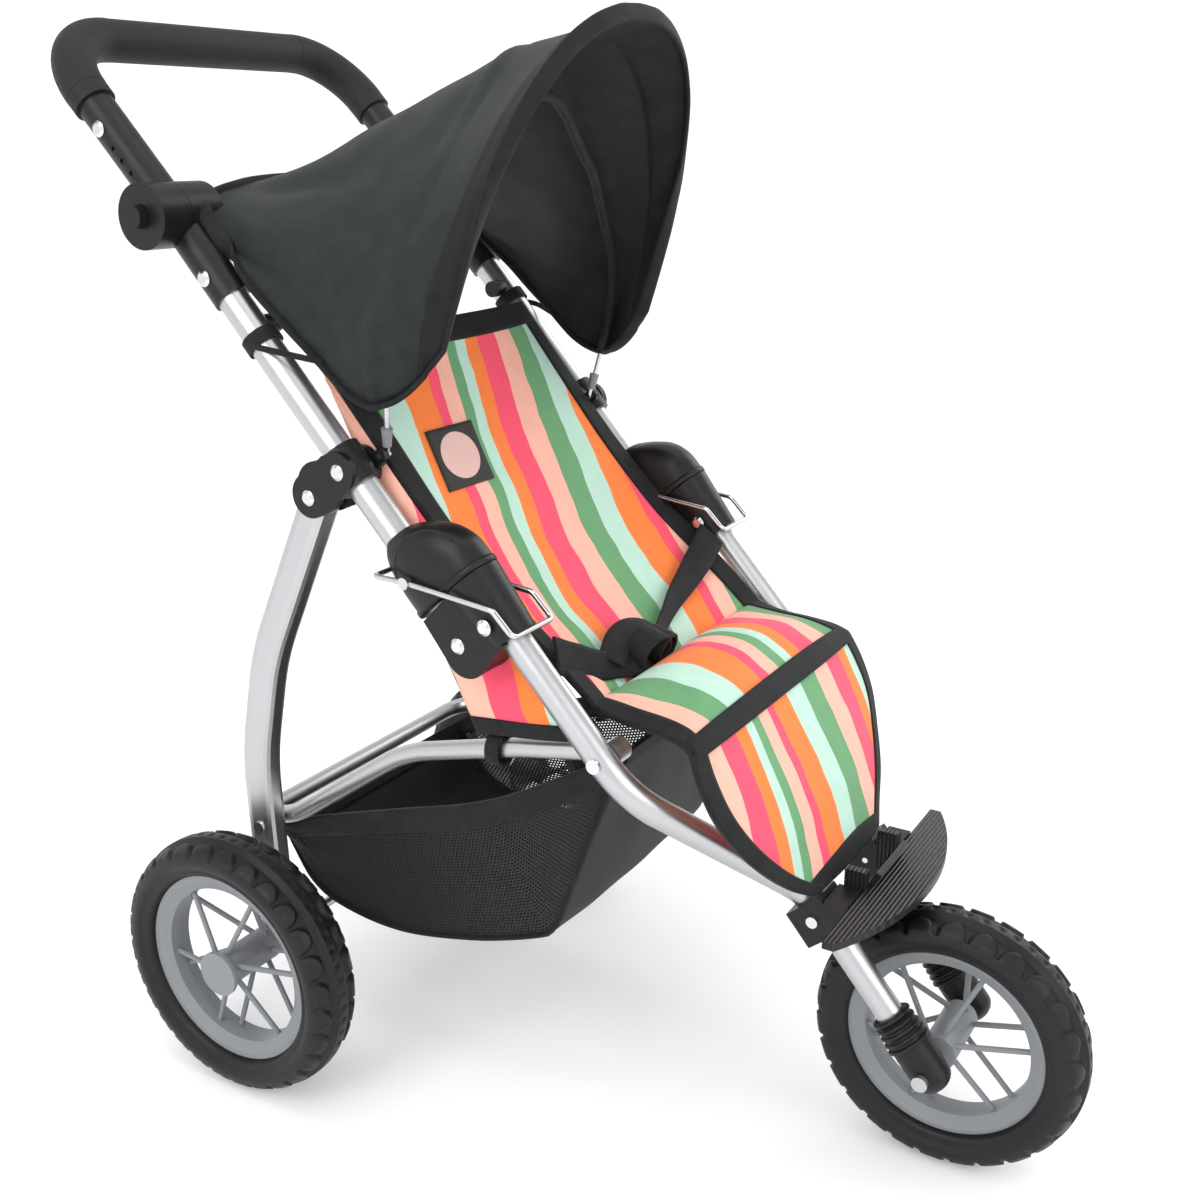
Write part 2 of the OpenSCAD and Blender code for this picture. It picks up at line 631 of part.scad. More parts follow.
// Oval cross-section of a leg, grown by more; its broad faces look sideways
module leg_section(more = 0) {
    polygon([for (a = [11.25 : 22.5 : 348.75]) [
        (leg_w / 2 + more) * sign(cos(a)) * sqrt(abs(cos(a))) / sqrt(cos(11.25)),
        (leg_t / 2 + more) * sign(sin(a)) * sqrt(abs(sin(a))) / sqrt(cos(11.25))]]);
}
module leg_length(a, b, more) {
    d = unit(b - a);
    multmatrix([[0, -1, d[0], a[0]], [d[2], 0, d[1], a[1]], [-d[1], 0, d[2], a[2]], [0, 0, 0, 1]])
        linear_extrude(norm(b - a)) leg_section(more);
}
module leg_run(more) {
    p = leg_pts;
    for (i = [0 : 2]) {
        d = unit(p[i + 1] - p[i]);
        leg_length(p[i] + d * (cut(p, leg_bends, i) - (i > 0 ? lap : 0)),
                   p[i + 1] - d * (cut(p, leg_bends, i + 1) - (i < 2 ? lap : 0)), more);
    }
    for (i = [1, 2]) elbow(p[i - 1], p[i], p[i + 1], leg_bends[i]) leg_section(more + hair);
}
module rear_leg(side) {
    color("silver") on(side) difference() {
        union() {
            leg_run(0);
            for (q = [leg_pivot, rear_axle])
                cross_pin(q, -half_w - leg_t / 2 + 1, -half_w + leg_t / 2 - 1, leg_w / 2 + 3 * hair);
        }
        leg_run(-wall);
        cross_pin(leg_pivot, -130, -90, 2 + run);
        cross_pin(rear_axle, -130, -90, 3);
        cross_pin(bar_end, -130, -90, 2.05);
    }
}
axle_stop = half_w + leg_t / 2;
module rear_axle_rod() {
    color("#b5b8ba") place() {
        cross_pin(rear_axle, -rear_track - 12, rear_track + 12, 3);
        for (s = [-1, 1]) translate([s * (axle_stop + 1.6), rear_axle[0], rear_axle[1]])
            rotate([0, 90, 0]) difference() {
                cylinder(h = 3, r = 6, center = true);
                cylinder(h = 8, r = 2.9, center = true);
            }
    }
}
module leg_rivets() {
    color("silver") both() {
        rivet(leg_pivot, -half_w - skin_r, -cheek_x);
        cross_pin(bar_end, -half_w - leg_t / 2 - 1.1, -half_w + leg_t / 2, 2);
        cross_pin(bar_end, -half_w - leg_t / 2 - 1.1, -half_w - leg_t / 2, 3.6);
    }
}

/* ---- lower bar and basket ---- */
bar_x = 96;
bar_pts = [at_x(-bar_x, bar_pivot), [-bar_x, -160, 223], [-bar_x, -88, 204], [-bar_x, -8, 147.5],
           [-bar_x, 22, 139.4], [bar_x, 22, 139.4], [bar_x, -8, 147.5], [bar_x, -88, 204],
           [bar_x, -160, 223], at_x(bar_x, bar_pivot)];
bar_bends = [0, 90, 90, 60, 14, 14, 60, 90, 90, 0];
module lower_bar() {
    color("silver") place() difference() {
        union() {
            rod(bar_pts, bar_bends, bar_r);
            for (s = [-1, 1]) cross_pin(bar_pivot, s < 0 ? -bar_x - bar_r : bar_x - bar_r,
                s < 0 ? -bar_x + bar_r : bar_x + bar_r, 6);
        }
        rod(bar_pts, bar_bends, bar_r - 1);
        cross_pin(bar_pivot, -110, 110, 2 + run);
    }
}
module bar_pins() {
    color("silver") both() {
        cross_pin(bar_pivot, -half_w - 8, -bar_x + bar_r + 1.2, 2);
        cross_pin(bar_pivot, -half_w - 8.6, -half_w - 7.4, 3.6);
        cross_pin(bar_pivot, -bar_x + bar_r + 0.1, -bar_x + bar_r + 1.2, 3.6);
    }
}
module basket() {
    wide = bar_x - bar_r - gap;
    lip_rear = [8, 134];
    lip_front = [-202, 220];
    out = [lip_rear, [-16, 92], [-72, 88], [-166, 110], lip_front];
    in = [lip_rear + [-2, 3], [-17, 94], [-72, 90], [-165, 112], lip_front + [3, 3], [-140, 260],
          [0, 200]];
    color("#131314") place() difference() {
        side_plate(-wide, wide) polygon(out);
        side_plate(-wide + cloth_t, wide - cloth_t) polygon(in);
    }
}

lower_tube(RIGHT);  // lower_tube_right
lower_tube(LEFT);  // lower_tube_left
latch_shell(RIGHT);  // latch_shell_right
latch_shell(LEFT);  // latch_shell_left
latch_rivets();
fold_pins();
fork_boot(RIGHT);  // fork_boot_right
fork_boot(LEFT);  // fork_boot_left
front_axle_bolt();  // front_axle
footrest();
footrest_brackets();
footrest_screws();
seat_base();
leg_flap();
lap_belt();
belt_buckle();
front_tyre();
front_rim();
upper_tube(RIGHT);  // upper_tube_right
upper_tube(LEFT);  // upper_tube_left
latch_dome(RIGHT);  // latch_dome_right
latch_dome(LEFT);  // latch_dome_left
leg_bracket(RIGHT);  // leg_bracket_right
leg_bracket(LEFT);  // leg_bracket_left
lower_arm(RIGHT);  // lower_arm_right
lower_arm(LEFT);  // lower_arm_left
arm_rivets();
knuckle_pins();
canopy_knobs();
canopy_ties();
seat_back();
label_patch();
upper_arm(RIGHT);  // upper_arm_right
upper_arm(LEFT);  // upper_arm_left
handle_tube();
foam_grip();
grip_rivets();
knuckle_button(RIGHT);  // knuckle_button_right
knuckle_button(LEFT);  // knuckle_button_left
latch_wire(RIGHT);  // latch_wire_right
latch_wire(LEFT);  // latch_wire_left
bow_wire();
bow_sleeves();
canopy();
rear_leg(RIGHT);  // rear_leg_right
rear_leg(LEFT);  // rear_leg_left
rear_axle_rod();  // rear_axle
leg_rivets();
rear_tyre(RIGHT);  // rear_tyre_right
rear_rim(RIGHT);  // rear_rim_right
rear_cap(RIGHT);  // rear_cap_right
rear_tyre(LEFT);  // rear_tyre_left
rear_rim(LEFT);  // rear_rim_left
rear_cap(LEFT);  // rear_cap_left
lower_bar();
bar_pins();
basket();
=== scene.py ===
import json
import math

import bpy
import numpy as np
from mathutils import Matrix, Vector


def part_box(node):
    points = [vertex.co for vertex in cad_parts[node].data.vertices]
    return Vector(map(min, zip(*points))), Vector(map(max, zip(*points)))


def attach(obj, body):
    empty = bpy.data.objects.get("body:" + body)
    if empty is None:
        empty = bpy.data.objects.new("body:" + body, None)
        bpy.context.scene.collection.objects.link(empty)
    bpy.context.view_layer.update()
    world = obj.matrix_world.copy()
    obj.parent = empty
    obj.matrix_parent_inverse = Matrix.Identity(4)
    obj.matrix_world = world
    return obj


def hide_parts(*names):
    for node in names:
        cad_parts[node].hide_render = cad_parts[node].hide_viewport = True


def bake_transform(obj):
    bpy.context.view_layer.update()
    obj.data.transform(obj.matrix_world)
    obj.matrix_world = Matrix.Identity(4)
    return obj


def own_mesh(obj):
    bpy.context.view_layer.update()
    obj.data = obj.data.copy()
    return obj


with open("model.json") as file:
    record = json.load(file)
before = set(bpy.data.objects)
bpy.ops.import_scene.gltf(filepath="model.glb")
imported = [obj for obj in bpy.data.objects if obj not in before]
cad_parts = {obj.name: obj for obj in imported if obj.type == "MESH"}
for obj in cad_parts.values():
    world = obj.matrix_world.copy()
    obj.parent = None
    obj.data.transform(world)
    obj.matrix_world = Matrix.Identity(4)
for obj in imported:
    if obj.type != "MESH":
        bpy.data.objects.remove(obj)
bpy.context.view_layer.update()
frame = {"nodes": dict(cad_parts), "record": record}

NODES = frame["nodes"]


# ---------- materials ----------
def new_material(name, color=(0.5, 0.5, 0.5), rough=0.5, metal=0.0, **sockets):
    m = bpy.data.materials.new(name)
    m.use_nodes = True
    b = m.node_tree.nodes["Principled BSDF"]
    b.inputs["Base Color"].default_value = (*color, 1)
    b.inputs["Roughness"].default_value = rough
    b.inputs["Metallic"].default_value = metal
    for k, v in sockets.items():
        b.inputs[k.replace("_", " ")].default_value = v
    return m, m.node_tree, b


def add(tree, kind, **props):
    n = tree.nodes.new(kind)
    for k, v in props.items():
        if k in n.inputs:
            n.inputs[k].default_value = v
        else:
            setattr(n, k, v)
    return n


def coords(tree, scale=(1, 1, 1), space="Object"):
    c = add(tree, "ShaderNodeTexCoord")
    m = add(tree, "ShaderNodeMapping")
    m.inputs["Scale"].default_value = scale
    tree.links.new(c.outputs[space], m.inputs["Vector"])
    return m.outputs["Vector"]


def noise(tree, vector, scale, detail=3.0, rough=0.55):
    n = add(tree, "ShaderNodeTexNoise")
    n.inputs["Scale"].default_value = scale
    n.inputs["Detail"].default_value = detail
    n.inputs["Roughness"].default_value = rough
    tree.links.new(vector, n.inputs["Vector"])
    return n.outputs["Fac"]


def ramp(tree, fac, stops, mode="LINEAR"):
    r = add(tree, "ShaderNodeValToRGB")
    r.color_ramp.interpolation = mode
    while len(r.color_ramp.elements) < len(stops):
        r.color_ramp.elements.new(0.5)
    for e, (p, c) in zip(r.color_ramp.elements, stops):
        e.position = p
        e.color = (*c, 1) if len(c) == 3 else c
    tree.links.new(fac, r.inputs["Fac"])
    return r.outputs["Color"]


def bump(tree, bsdf, height, strength, distance):
    b = add(tree, "ShaderNodeBump")
    b.inputs["Strength"].default_value = strength
    b.inputs["Distance"].default_value = distance
    tree.links.new(height, b.inputs["Height"])
    tree.links.new(b.outputs["Normal"], bsdf.inputs["Normal"])
    return b


def vary(tree, bsdf, socket, fac, lo, hi):
    m = add(tree, "ShaderNodeMapRange")
    m.inputs["To Min"].default_value = lo
    m.inputs["To Max"].default_value = hi
    tree.links.new(fac, m.inputs["Value"])
    tree.links.new(m.outputs["Result"], bsdf.inputs[socket])


def plastic(name, color, rough=0.42, grain=1400, strength=0.25):
    m, t, b = new_material(name, color, rough)
    b.inputs["Specular IOR Level"].default_value = 0.28
    v = coords(t)
    fine = noise(t, v, grain, 2.0)
    bump(t, b, fine, strength, 0.0001)
    vary(t, b, "Roughness", noise(t, v, 60), rough - 0.05, rough + 0.07)
    return m


def satin_metal(name, color, rough=0.26):
    m, t, b = new_material(name, color, rough, 1.0)
    v = coords(t)
    vary(t, b, "Roughness", noise(t, v, 35, 4.0), rough - 0.03, rough + 0.05)
    bump(t, b, noise(t, v, 900, 3.0), 0.04, 0.0001)
    return m


MAT = {
    "steel_tube": satin_metal("satin_tube", (0.50, 0.505, 0.51), 0.34),
    "black_plastic": plastic("black_plastic", (0.0085, 0.0085, 0.009), 0.36),
    "foam": plastic("grip_foam", (0.012, 0.012, 0.0125), 0.60, 900, 0.5),
    "tyre": plastic("tyre_rubber", (0.0085, 0.0085, 0.009), 0.42, 700, 0.3),
    "rim": plastic("rim_plastic", (0.215, 0.225, 0.235), 0.42, 1200, 0.15),
    "wire": satin_metal("bright_wire", (0.56, 0.57, 0.58), 0.22),
    "rivet": satin_metal("rivet_metal", (0.66, 0.67, 0.68), 0.20),
    "boot": plastic("boot_rubber", (0.0075, 0.0075, 0.008), 0.40, 600, 0.2),
    "stripe_fabric": plastic("stripe_cloth", (0.85, 0.40, 0.30), 0.85, 900, 0.3),
    "black_fabric": plastic("black_cloth", (0.010, 0.011, 0.011), 0.85, 900, 0.4),
    "canopy_fabric": plastic("hood_cloth", (0.008, 0.014, 0.013), 0.75, 900, 0.4),
    "label": plastic("label_cloth", (0.03, 0.03, 0.03), 0.8, 900, 0.3),
}
SLOT = {s["node"]: s["material_slot"] for s in frame["record"]["subparts"]}
for name, obj in NODES.items():
    obj.data.materials.clear()
    obj.data.materials.append(MAT[SLOT[name]])


def weave(tree, scale):
    """Plain weave over a cloth's own metres: height of the crossing threads."""
    c = add(tree, "ShaderNodeUVMap", uv_map="cloth")
    sep = add(tree, "ShaderNodeSeparateXYZ")
    tree.links.new(c.outputs["UV"], sep.inputs["Vector"])
    waves = []
    for axis in "XY":
        k = add(tree, "ShaderNodeMath", operation="MULTIPLY")
        k.inputs[1].default_value = scale
        tree.links.new(sep.outputs[axis], k.inputs[0])
        w = add(tree, "ShaderNodeMath", operation="SINE")
        tree.links.new(k.outputs[0], w.inputs[0])
        waves.append(w.outputs[0])
    m = add(tree, "ShaderNodeMath", operation="MULTIPLY")
    tree.links.new(waves[0], m.inputs[0])
    tree.links.new(waves[1], m.inputs[1])
    return m.outputs[0], sep


def mixed(tree, blend, fac, a, b):
    m = add(tree, "ShaderNodeMix", data_type="RGBA", blend_type=blend)
    m.inputs["Factor"].default_value = fac
    for sock, v in (("A", a), ("B", b)):
        at = [i for i in m.inputs if i.name == sock and i.type == "RGBA"][0]
        if isinstance(v, tuple):
            at.default_value = (*v, 1)
        else:
            tree.links.new(v, at)
    return [o for o in m.outputs if o.type == "RGBA"][0]


def total(tree, pairs):
    """Sum of sockets, each times a number."""
    out = None
    for sock, k in pairs:
        m = add(tree, "ShaderNodeMath", operation="MULTIPLY_ADD")
        tree.links.new(sock, m.inputs[0])
        m.inputs[1].default_value = k
        m.inputs[2].default_value = 0.0
        if out is not None:
            tree.links.new(out, m.inputs[2])
        out = m.outputs[0]
    return out


def fabric(name, color, lighter, rough=0.85, sheen=0.15, threads=5200, depth=0.0002, strength=0.5):
    """Woven cloth of one colour, with a little fibre mottle."""
    m, t, b = new_material(name, color, rough)
    b.inputs["Sheen Weight"].default_value = sheen
    b.inputs["Sheen Roughness"].default_value = 0.5
    b.inputs["Specular IOR Level"].default_value = 0.3
    v = coords(t)
    mottle = noise(t, v, 90, 4.0, 0.6)
    t.links.new(ramp(t, mottle, [(0.30, color), (0.72, lighter)]), b.inputs["Base Color"])
    thread, _ = weave(t, threads)
    bump(t, b, total(t, [(thread, 0.5), (noise(t, v, 700, 2.0), 0.6)]), strength, depth)
    return m


PEACH, CORAL, ORANGE = (0.94, 0.47, 0.36), (0.96, 0.085, 0.155), (0.97, 0.222, 0.045)
MINT, GREEN = (0.50, 0.73, 0.60), (0.140, 0.345, 0.155)
# Widths of the printed stripes over one repeat, in millimetres
PRINT = [(9, CORAL), (12, PEACH), (9, GREEN), (9, MINT), (12, ORANGE), (18, CORAL), (18, PEACH), (18, GREEN),
         (18, MINT), (21, ORANGE)]


def stripe_fabric():
    m, t, b = new_material("stripe_cloth", PEACH, 0.82)
    b.inputs["Sheen Weight"].default_value = 0.12
    b.inputs["Specular IOR Level"].default_value = 0.25
    repeat = sum(w for w, _ in PRINT) / 1000
    thread, sep = weave(t, 5200)
    # The stripes wander a little along their length
    c = add(t, "ShaderNodeCombineXYZ")
    t.links.new(sep.outputs["Y"], c.inputs["Y"])
    wander = noise(t, c.outputs[0], 11, 1.5, 0.5)
    edge = noise(t, coords(t), 26, 2.0, 0.5)
    s = total(t, [(sep.outputs["X"], 1.0), (wander, 0.020), (edge, 0.009)])
    off = add(t, "ShaderNodeMath", operation="SUBTRACT")
    off.inputs[1].default_value = 0.0145
    t.links.new(s, off.inputs[0])
    d = add(t, "ShaderNodeMath", operation="DIVIDE")
    d.inputs[1].default_value = repeat
    t.links.new(off.outputs[0], d.inputs[0])
    f = add(t, "ShaderNodeMath", operation="FRACT")
    t.links.new(d.outputs[0], f.inputs[0])
    stops, at = [], 0.0
    for w, color in PRINT:
        stops.append((at / repeat / 1000, color))
        at += w
    print_color = ramp(t, f.outputs[0], stops, "CONSTANT")
    v = coords(t)
    shade = ramp(t, noise(t, v, 75, 4.0, 0.6), [(0.25, (0.90, 0.90, 0.91)), (0.75, (1.0, 1.0, 1.0))])
    t.links.new(mixed(t, "MULTIPLY", 1.0, print_color, shade), b.inputs["Base Color"])
    bump(t, b, total(t, [(thread, 0.5), (noise(t, v, 900, 2.0), 0.5)]), 0.5, 0.0002)
    return m


def net_fabric():
    """Black net: threads round small staggered holes."""
    m, t, b = new_material("net_cloth", (0.006, 0.006, 0.0065), 0.7)
    c = add(t, "ShaderNodeUVMap", uv_map="cloth")
    k = add(t, "ShaderNodeTexBrick", offset=0.5)
    k.inputs["Scale"].default_value = 1.0
    k.inputs["Brick Width"].default_value = 0.0024
    k.inputs["Row Height"].default_value = 0.0017
    k.inputs["Mortar Size"].default_value = 0.00048
    k.inputs["Mortar Smooth"].default_value = 0.1
    t.links.new(c.outputs["UV"], k.inputs["Vector"])
    t.links.new(k.outputs["Fac"], b.inputs["Alpha"])
    bump(t, b, noise(t, coords(t), 900, 2.0), 0.3, 0.0001)
    return m


MAT["stripe_fabric"] = stripe_fabric()
MAT["black_tape"] = fabric("black_tape", (0.0040, 0.0040, 0.0042), (0.011, 0.011, 0.0115), 0.78, 0.03, 4600)
MAT["black_cloth"] = fabric("black_cloth_2", (0.0035, 0.0038, 0.0038), (0.0085, 0.0090, 0.0090),
                            0.66, 0.03, 6000)
MAT["canopy_fabric"] = fabric("hood_cloth_2", (0.0042, 0.0062, 0.0058), (0.0110, 0.0150, 0.0143),
                              0.60, 0.04, 6000)
MAT["mesh"] = net_fabric()


def label_face():
    """A dark woven square with a plain pale oval."""
    m, t, b = new_material("label_cloth", (0.03, 0.03, 0.03), 0.8)
    thread, sep = weave(t, 7000)
    parts = []
    for axis, mid, half in (("X", 0.0, 0.0168), ("Y", 0.0175, 0.0145)):
        k = add(t, "ShaderNodeMath", operation="SUBTRACT")
        k.inputs[1].default_value = mid
        t.links.new(sep.outputs[axis], k.inputs[0])
        q = add(t, "ShaderNodeMath", operation="DIVIDE")
        q.inputs[1].default_value = half
        t.links.new(k.outputs[0], q.inputs[0])
        w = add(t, "ShaderNodeMath", operation="POWER")
        w.inputs[1].default_value = 2.0
        t.links.new(q.outputs[0], w.inputs[0])
        parts.append(w.outputs[0])
    r = total(t, [(parts[0], 1.0), (parts[1], 1.0)])
    face = ramp(t, r, [(0.86, (0.74, 0.47, 0.42)), (0.90, (0.028, 0.028, 0.025))])
    t.links.new(face, b.inputs["Base Color"])
    bump(t, b, thread, 0.4, 0.0001)
    return m


MAT["label"] = label_face()
# The two elastic ties are woven like the tapes
NODES["canopy_ties"].data.materials[0] = MAT["black_tape"]


def tread():
    """Moulded plastic with fine ribs across the step."""
    m, t, b = new_material("step_tread", (0.011, 0.011, 0.0115), 0.42)
    b.inputs["Specular IOR Level"].default_value = 0.35
    w = add(t, "ShaderNodeTexWave", bands_direction="Y", wave_profile="SIN")
    w.inputs["Scale"].default_value = 150
    v = coords(t)
    t.links.new(v, w.inputs["Vector"])
    bump(t, b, total(t, [(w.outputs["Fac"], 1.0), (noise(t, v, 500, 2.0), 0.3)]), 0.8, 0.0006)
    return m


NODES["footrest"].data.materials.clear()
NODES["footrest"].data.materials.append(tread())

# ---------- where things are ----------
def middle(node):
    lo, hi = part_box(node)
    return (lo + hi) / 2


REAR_Y = middle("rear_axle").y
FOLD = middle("fold_pins")
SLOPE = math.radians(47.9)
# Millimetres from the middle plane to each handle tube's centre line
HALF_W = 108.7
ALONG = np.array([0, math.cos(SLOPE), math.sin(SLOPE)])
ACROSS = np.array([0, -math.sin(SLOPE), math.cos(SLOPE)])
FOLD_AT = np.array([0, FOLD.y, FOLD.z])


def floor_pt(x, y, z):
    """A point in millimetres from the floor under the rear axle, in metres."""
    return np.array([x / 1000, REAR_Y + y / 1000, z / 1000])


def tube_pt(x, u, v):
    """A point in millimetres along and across the handle tubes, from the fold pivot."""
    return FOLD_AT + (u * ALONG + v * ACROSS + np.array([x, 0, 0])) / 1000


# ---------- mesh helpers ----------
V = np.array


def spline(points, n):
    """n points on a smooth curve through the given ones, evenly spread along it."""
    p = np.array(points, float)
    k = len(p)
    m = max(8 * k, 4 * n)
    t = np.linspace(0, k - 1, m)
    i = np.clip(t.astype(int), 0, k - 2)
    f = (t - i)[:, None]
    p0, p1, p2, p3 = p[np.maximum(i - 1, 0)], p[i], p[i + 1], p[np.minimum(i + 2, k - 1)]
    q = 0.5 * (2 * p1 + (p2 - p0) * f + (2 * p0 - 5 * p1 + 4 * p2 - p3) * f**2
               + (3 * p1 - p0 - 3 * p2 + p3) * f**3)
    d = np.r_[0, np.cumsum(np.linalg.norm(np.diff(q, axis=0), axis=1))]
    s = np.linspace(0, d[-1], n)
    return np.stack([np.interp(s, d, q[:, c]) for c in range(q.shape[1])], 1)


def link(name, verts, faces, mat, body=None, smooth=True, uv=None):
    me = bpy.data.meshes.new(name)
    me.from_pydata([tuple(map(float, v)) for v in verts], [], faces)
    me.validate()
    if uv is not None:
        layer = me.uv_layers.new(name="cloth")
        for loop in me.loops:
            layer.data[loop.index].uv = uv[loop.vertex_index]
    me.materials.append(mat)
    me.polygons.foreach_set("use_smooth", [smooth] * len(me.polygons))
    o = bpy.data.objects.new(name, me)
    bpy.context.scene.collection.objects.link(o)
    if body:
        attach(o, body)
    return o


def grid_faces(nj, ni, wrap_i=False, wrap_j=False):
    out = []
    for j in range(nj if wrap_j else nj - 1):
        for i in range(ni if wrap_i else ni - 1):
            a, b = j * ni + i, j * ni + (i + 1) % ni
            c, d = ((j + 1) % nj) * ni + (i + 1) % ni, ((j + 1) % nj) * ni + i
            out.append((a, b, c, d))
    return out


def grid_normals(g):
    du = np.gradient(g, axis=1)
    dv = np.gradient(g, axis=0)
    n = np.cross(du, dv)
    return n / np.maximum(np.linalg.norm(n, axis=2, keepdims=True), 1e-12)


def cloth(name, g, thick, mat, uv_origin=(0, 0)):
    """A closed sheet of cloth from a grid of points, of the given thickness in metres."""
    g = np.array(g, float)
    nj, ni = g.shape[:2]
    n = grid_normals(g)
    top, bottom = g + n * thick / 2, g - n * thick / 2
    verts = np.concatenate([top.reshape(-1, 3), bottom.reshape(-1, 3)])
    m = nj * ni
    faces = grid_faces(nj, ni)
    faces += [tuple(m + k for k in f[::-1]) for f in grid_faces(nj, ni)]
    rim = [j * ni for j in range(nj)] + [(nj - 1) * ni + i for i in range(1, ni)]
    rim += [j * ni + ni - 1 for j in range(nj - 2, -1, -1)] + [i for i in range(ni - 2, 0, -1)]
    for a, b in zip(rim, rim[1:] + rim[:1]):
        faces.append((a, b, m + b, m + a))
    across = np.linalg.norm(np.diff(g, axis=1), axis=2).cumsum(1)
    across = np.concatenate([np.zeros((nj, 1)), across], 1)
    across -= across[:, ni // 2:ni // 2 + 1]
    down = np.linalg.norm(np.diff(g[:, ni // 2], axis=0), axis=1).cumsum()
    down = np.r_[0, down][:, None] * np.ones((1, ni))
    uv = np.stack([across + uv_origin[0], down + uv_origin[1]], 2).reshape(-1, 2)
    return link(name, verts, faces, mat, uv=np.concatenate([uv, uv]))


def sweep(name, path, shape, mat, body=None, normal=None, closed=False, caps=True):
    """A closed outline swept along a path. shape is a list of (side, up) points or a function of the share."""
    p = np.array(path, float)
    n = len(p)
    if closed:
        t = np.roll(p, -1, 0) - np.roll(p, 1, 0)
    else:
        t = np.gradient(p, axis=0)
    t /= np.linalg.norm(t, axis=1, keepdims=True)
    if normal is None:
        ref = np.array([0, 0, 1.0]) if abs(t[0][2]) < 0.9 else np.array([1.0, 0, 0])
        up = np.zeros_like(p)
        u = ref - t[0] * (ref @ t[0])
        for k in range(n):
            u = u - t[k] * (u @ t[k])
            u /= np.linalg.norm(u)
            up[k] = u
    else:
        up = np.array(normal, float) * np.ones((n, 3))
        up = up - t * (up * t).sum(1)[:, None]
        up /= np.linalg.norm(up, axis=1, keepdims=True)
    side = np.cross(t, up)
    rings = []
    for k in range(n):
        s = np.array(shape(k / (n - 1)) if callable(shape) else shape, float)
        rings.append(p[k] + s[:, :1] * side[k] + s[:, 1:] * up[k])
    rings = np.array(rings)
    m = rings.shape[1]
    faces = grid_faces(n, m, wrap_i=True, wrap_j=closed)
    if caps and not closed:
        faces += [tuple(range(m))[::-1], tuple((n - 1) * m + k for k in range(m))]
    length = np.r_[0, np.linalg.norm(np.diff(p, axis=0), axis=1).cumsum()]
    uv = np.stack([np.arange(m)[None, :] / m * 0.03 * np.ones((n, 1)), length[:, None] * np.ones((1, m))], 2)
    return link(name, rings.reshape(-1, 3), faces, mat, body, uv=uv.reshape(-1, 2))


def oval(a, b, n=12, power=2.0):
    """Points round an oval of half-widths a and b; a power above 2 is squarer."""
    t = np.linspace(0, 2 * math.pi, n, endpoint=False)
    c, s = np.cos(t), np.sin(t)
    e = 2 / power
    return np.stack([a * np.sign(c) * abs(c)**e, b * np.sign(s) * abs(s)**e], 1)


def ripple(*shape, seed=0, waves=5, low=1.0, high=4.0):
    """Smooth seeded waves over a grid, about -1 to 1."""
    rng = np.random.default_rng(seed)
    yy, xx = np.meshgrid(np.linspace(0, 1, shape[0]), np.linspace(0, 1, shape[1]), indexing="ij")
    out = np.zeros(shape)
    for _ in range(waves):
        kx, ky, ph = rng.uniform(low, high), rng.uniform(low, high), rng.uniform(0, 6.28)
        out += np.sin(2 * math.pi * (kx * xx * rng.choice([-1, 1]) + ky * yy) + ph)
    return out / waves


# ---------- seat ----------
def seat_station(w, eu, ev, cu, cv):
    return [w / 1000, *tube_pt(0, eu, ev)[1:], *tube_pt(0, cu, cv)[1:]]


def floor_station(w, ey, ez, cy, cz):
    return [w / 1000, *floor_pt(0, ey, ez)[1:], *floor_pt(0, cy, cz)[1:]]


def seat_grid(stations, rows, cols, belly=2.2):
    """Rows across the seat: half-width, then the side view of its edge and of its middle."""
    s = spline(stations, rows)
    x = np.linspace(-1, 1, cols)
    g = np.zeros((rows, cols, 3))
    for j, (w, ey, ez, cy, cz) in enumerate(s):
        k = abs(x)**belly
        g[j, :, 0] = w * x
        g[j, :, 1] = cy + (ey - cy) * k
        g[j, :, 2] = cz + (ez - cz) * k
    return g


BACK = [
    seat_station(93, 169, 13, 162, 22),
    seat_station(94, 140, 11, 138, 17),
    seat_station(94, 100, 10, 100, 11),
    seat_station(94, 60, 10, 60, 6),
    seat_station(93.5, 20, 13, 20, 4),
    seat_station(93, -20, 20, -18, 8),
    seat_station(92, -57, 25, -54, 15),
    seat_station(91.5, -68, 23, -70, 13),
]
BASE = [
    floor_station(92, -193, 249, -190, 238),
    floor_station(92, -199, 252, -196, 249),
    floor_station(92, -207, 250, -206, 257),
    floor_station(92.5, -219, 248, -220, 261),
    floor_station(93, -234, 247, -236, 259),
    floor_station(94, -247, 245, -249, 252),
    floor_station(96, -255, 241.5, -258, 244),
]
FLAP = [
    floor_station(96, -255, 241.5, -258, 244),
    floor_station(99, -262, 227, -268, 230),
    floor_station(97, -270, 210, -278, 212),
    floor_station(87, -278, 192, -286, 194),
    floor_station(73, -286, 176, -291, 178),
    floor_station(57, -292, 163, -296, 165),
    floor_station(43, -297.5, 155, -299.5, 156.5),
]
COLS = 75
back_g = seat_grid(BACK, 90, COLS)
base_g = seat_grid(BASE, 34, COLS)
flap_g = seat_grid(FLAP, 50, COLS)
inward = 1 - abs(np.linspace(-1, 1, COLS))[None, :]**4


def wrinkle(g, depth, seed, low=0.5, high=2.5):
    n = grid_normals(g)
    return g + n * (ripple(*g.shape[:2], seed=seed, low=low, high=high) * depth * inward)[..., None]


back_g = wrinkle(back_g, 0.0012, 3)
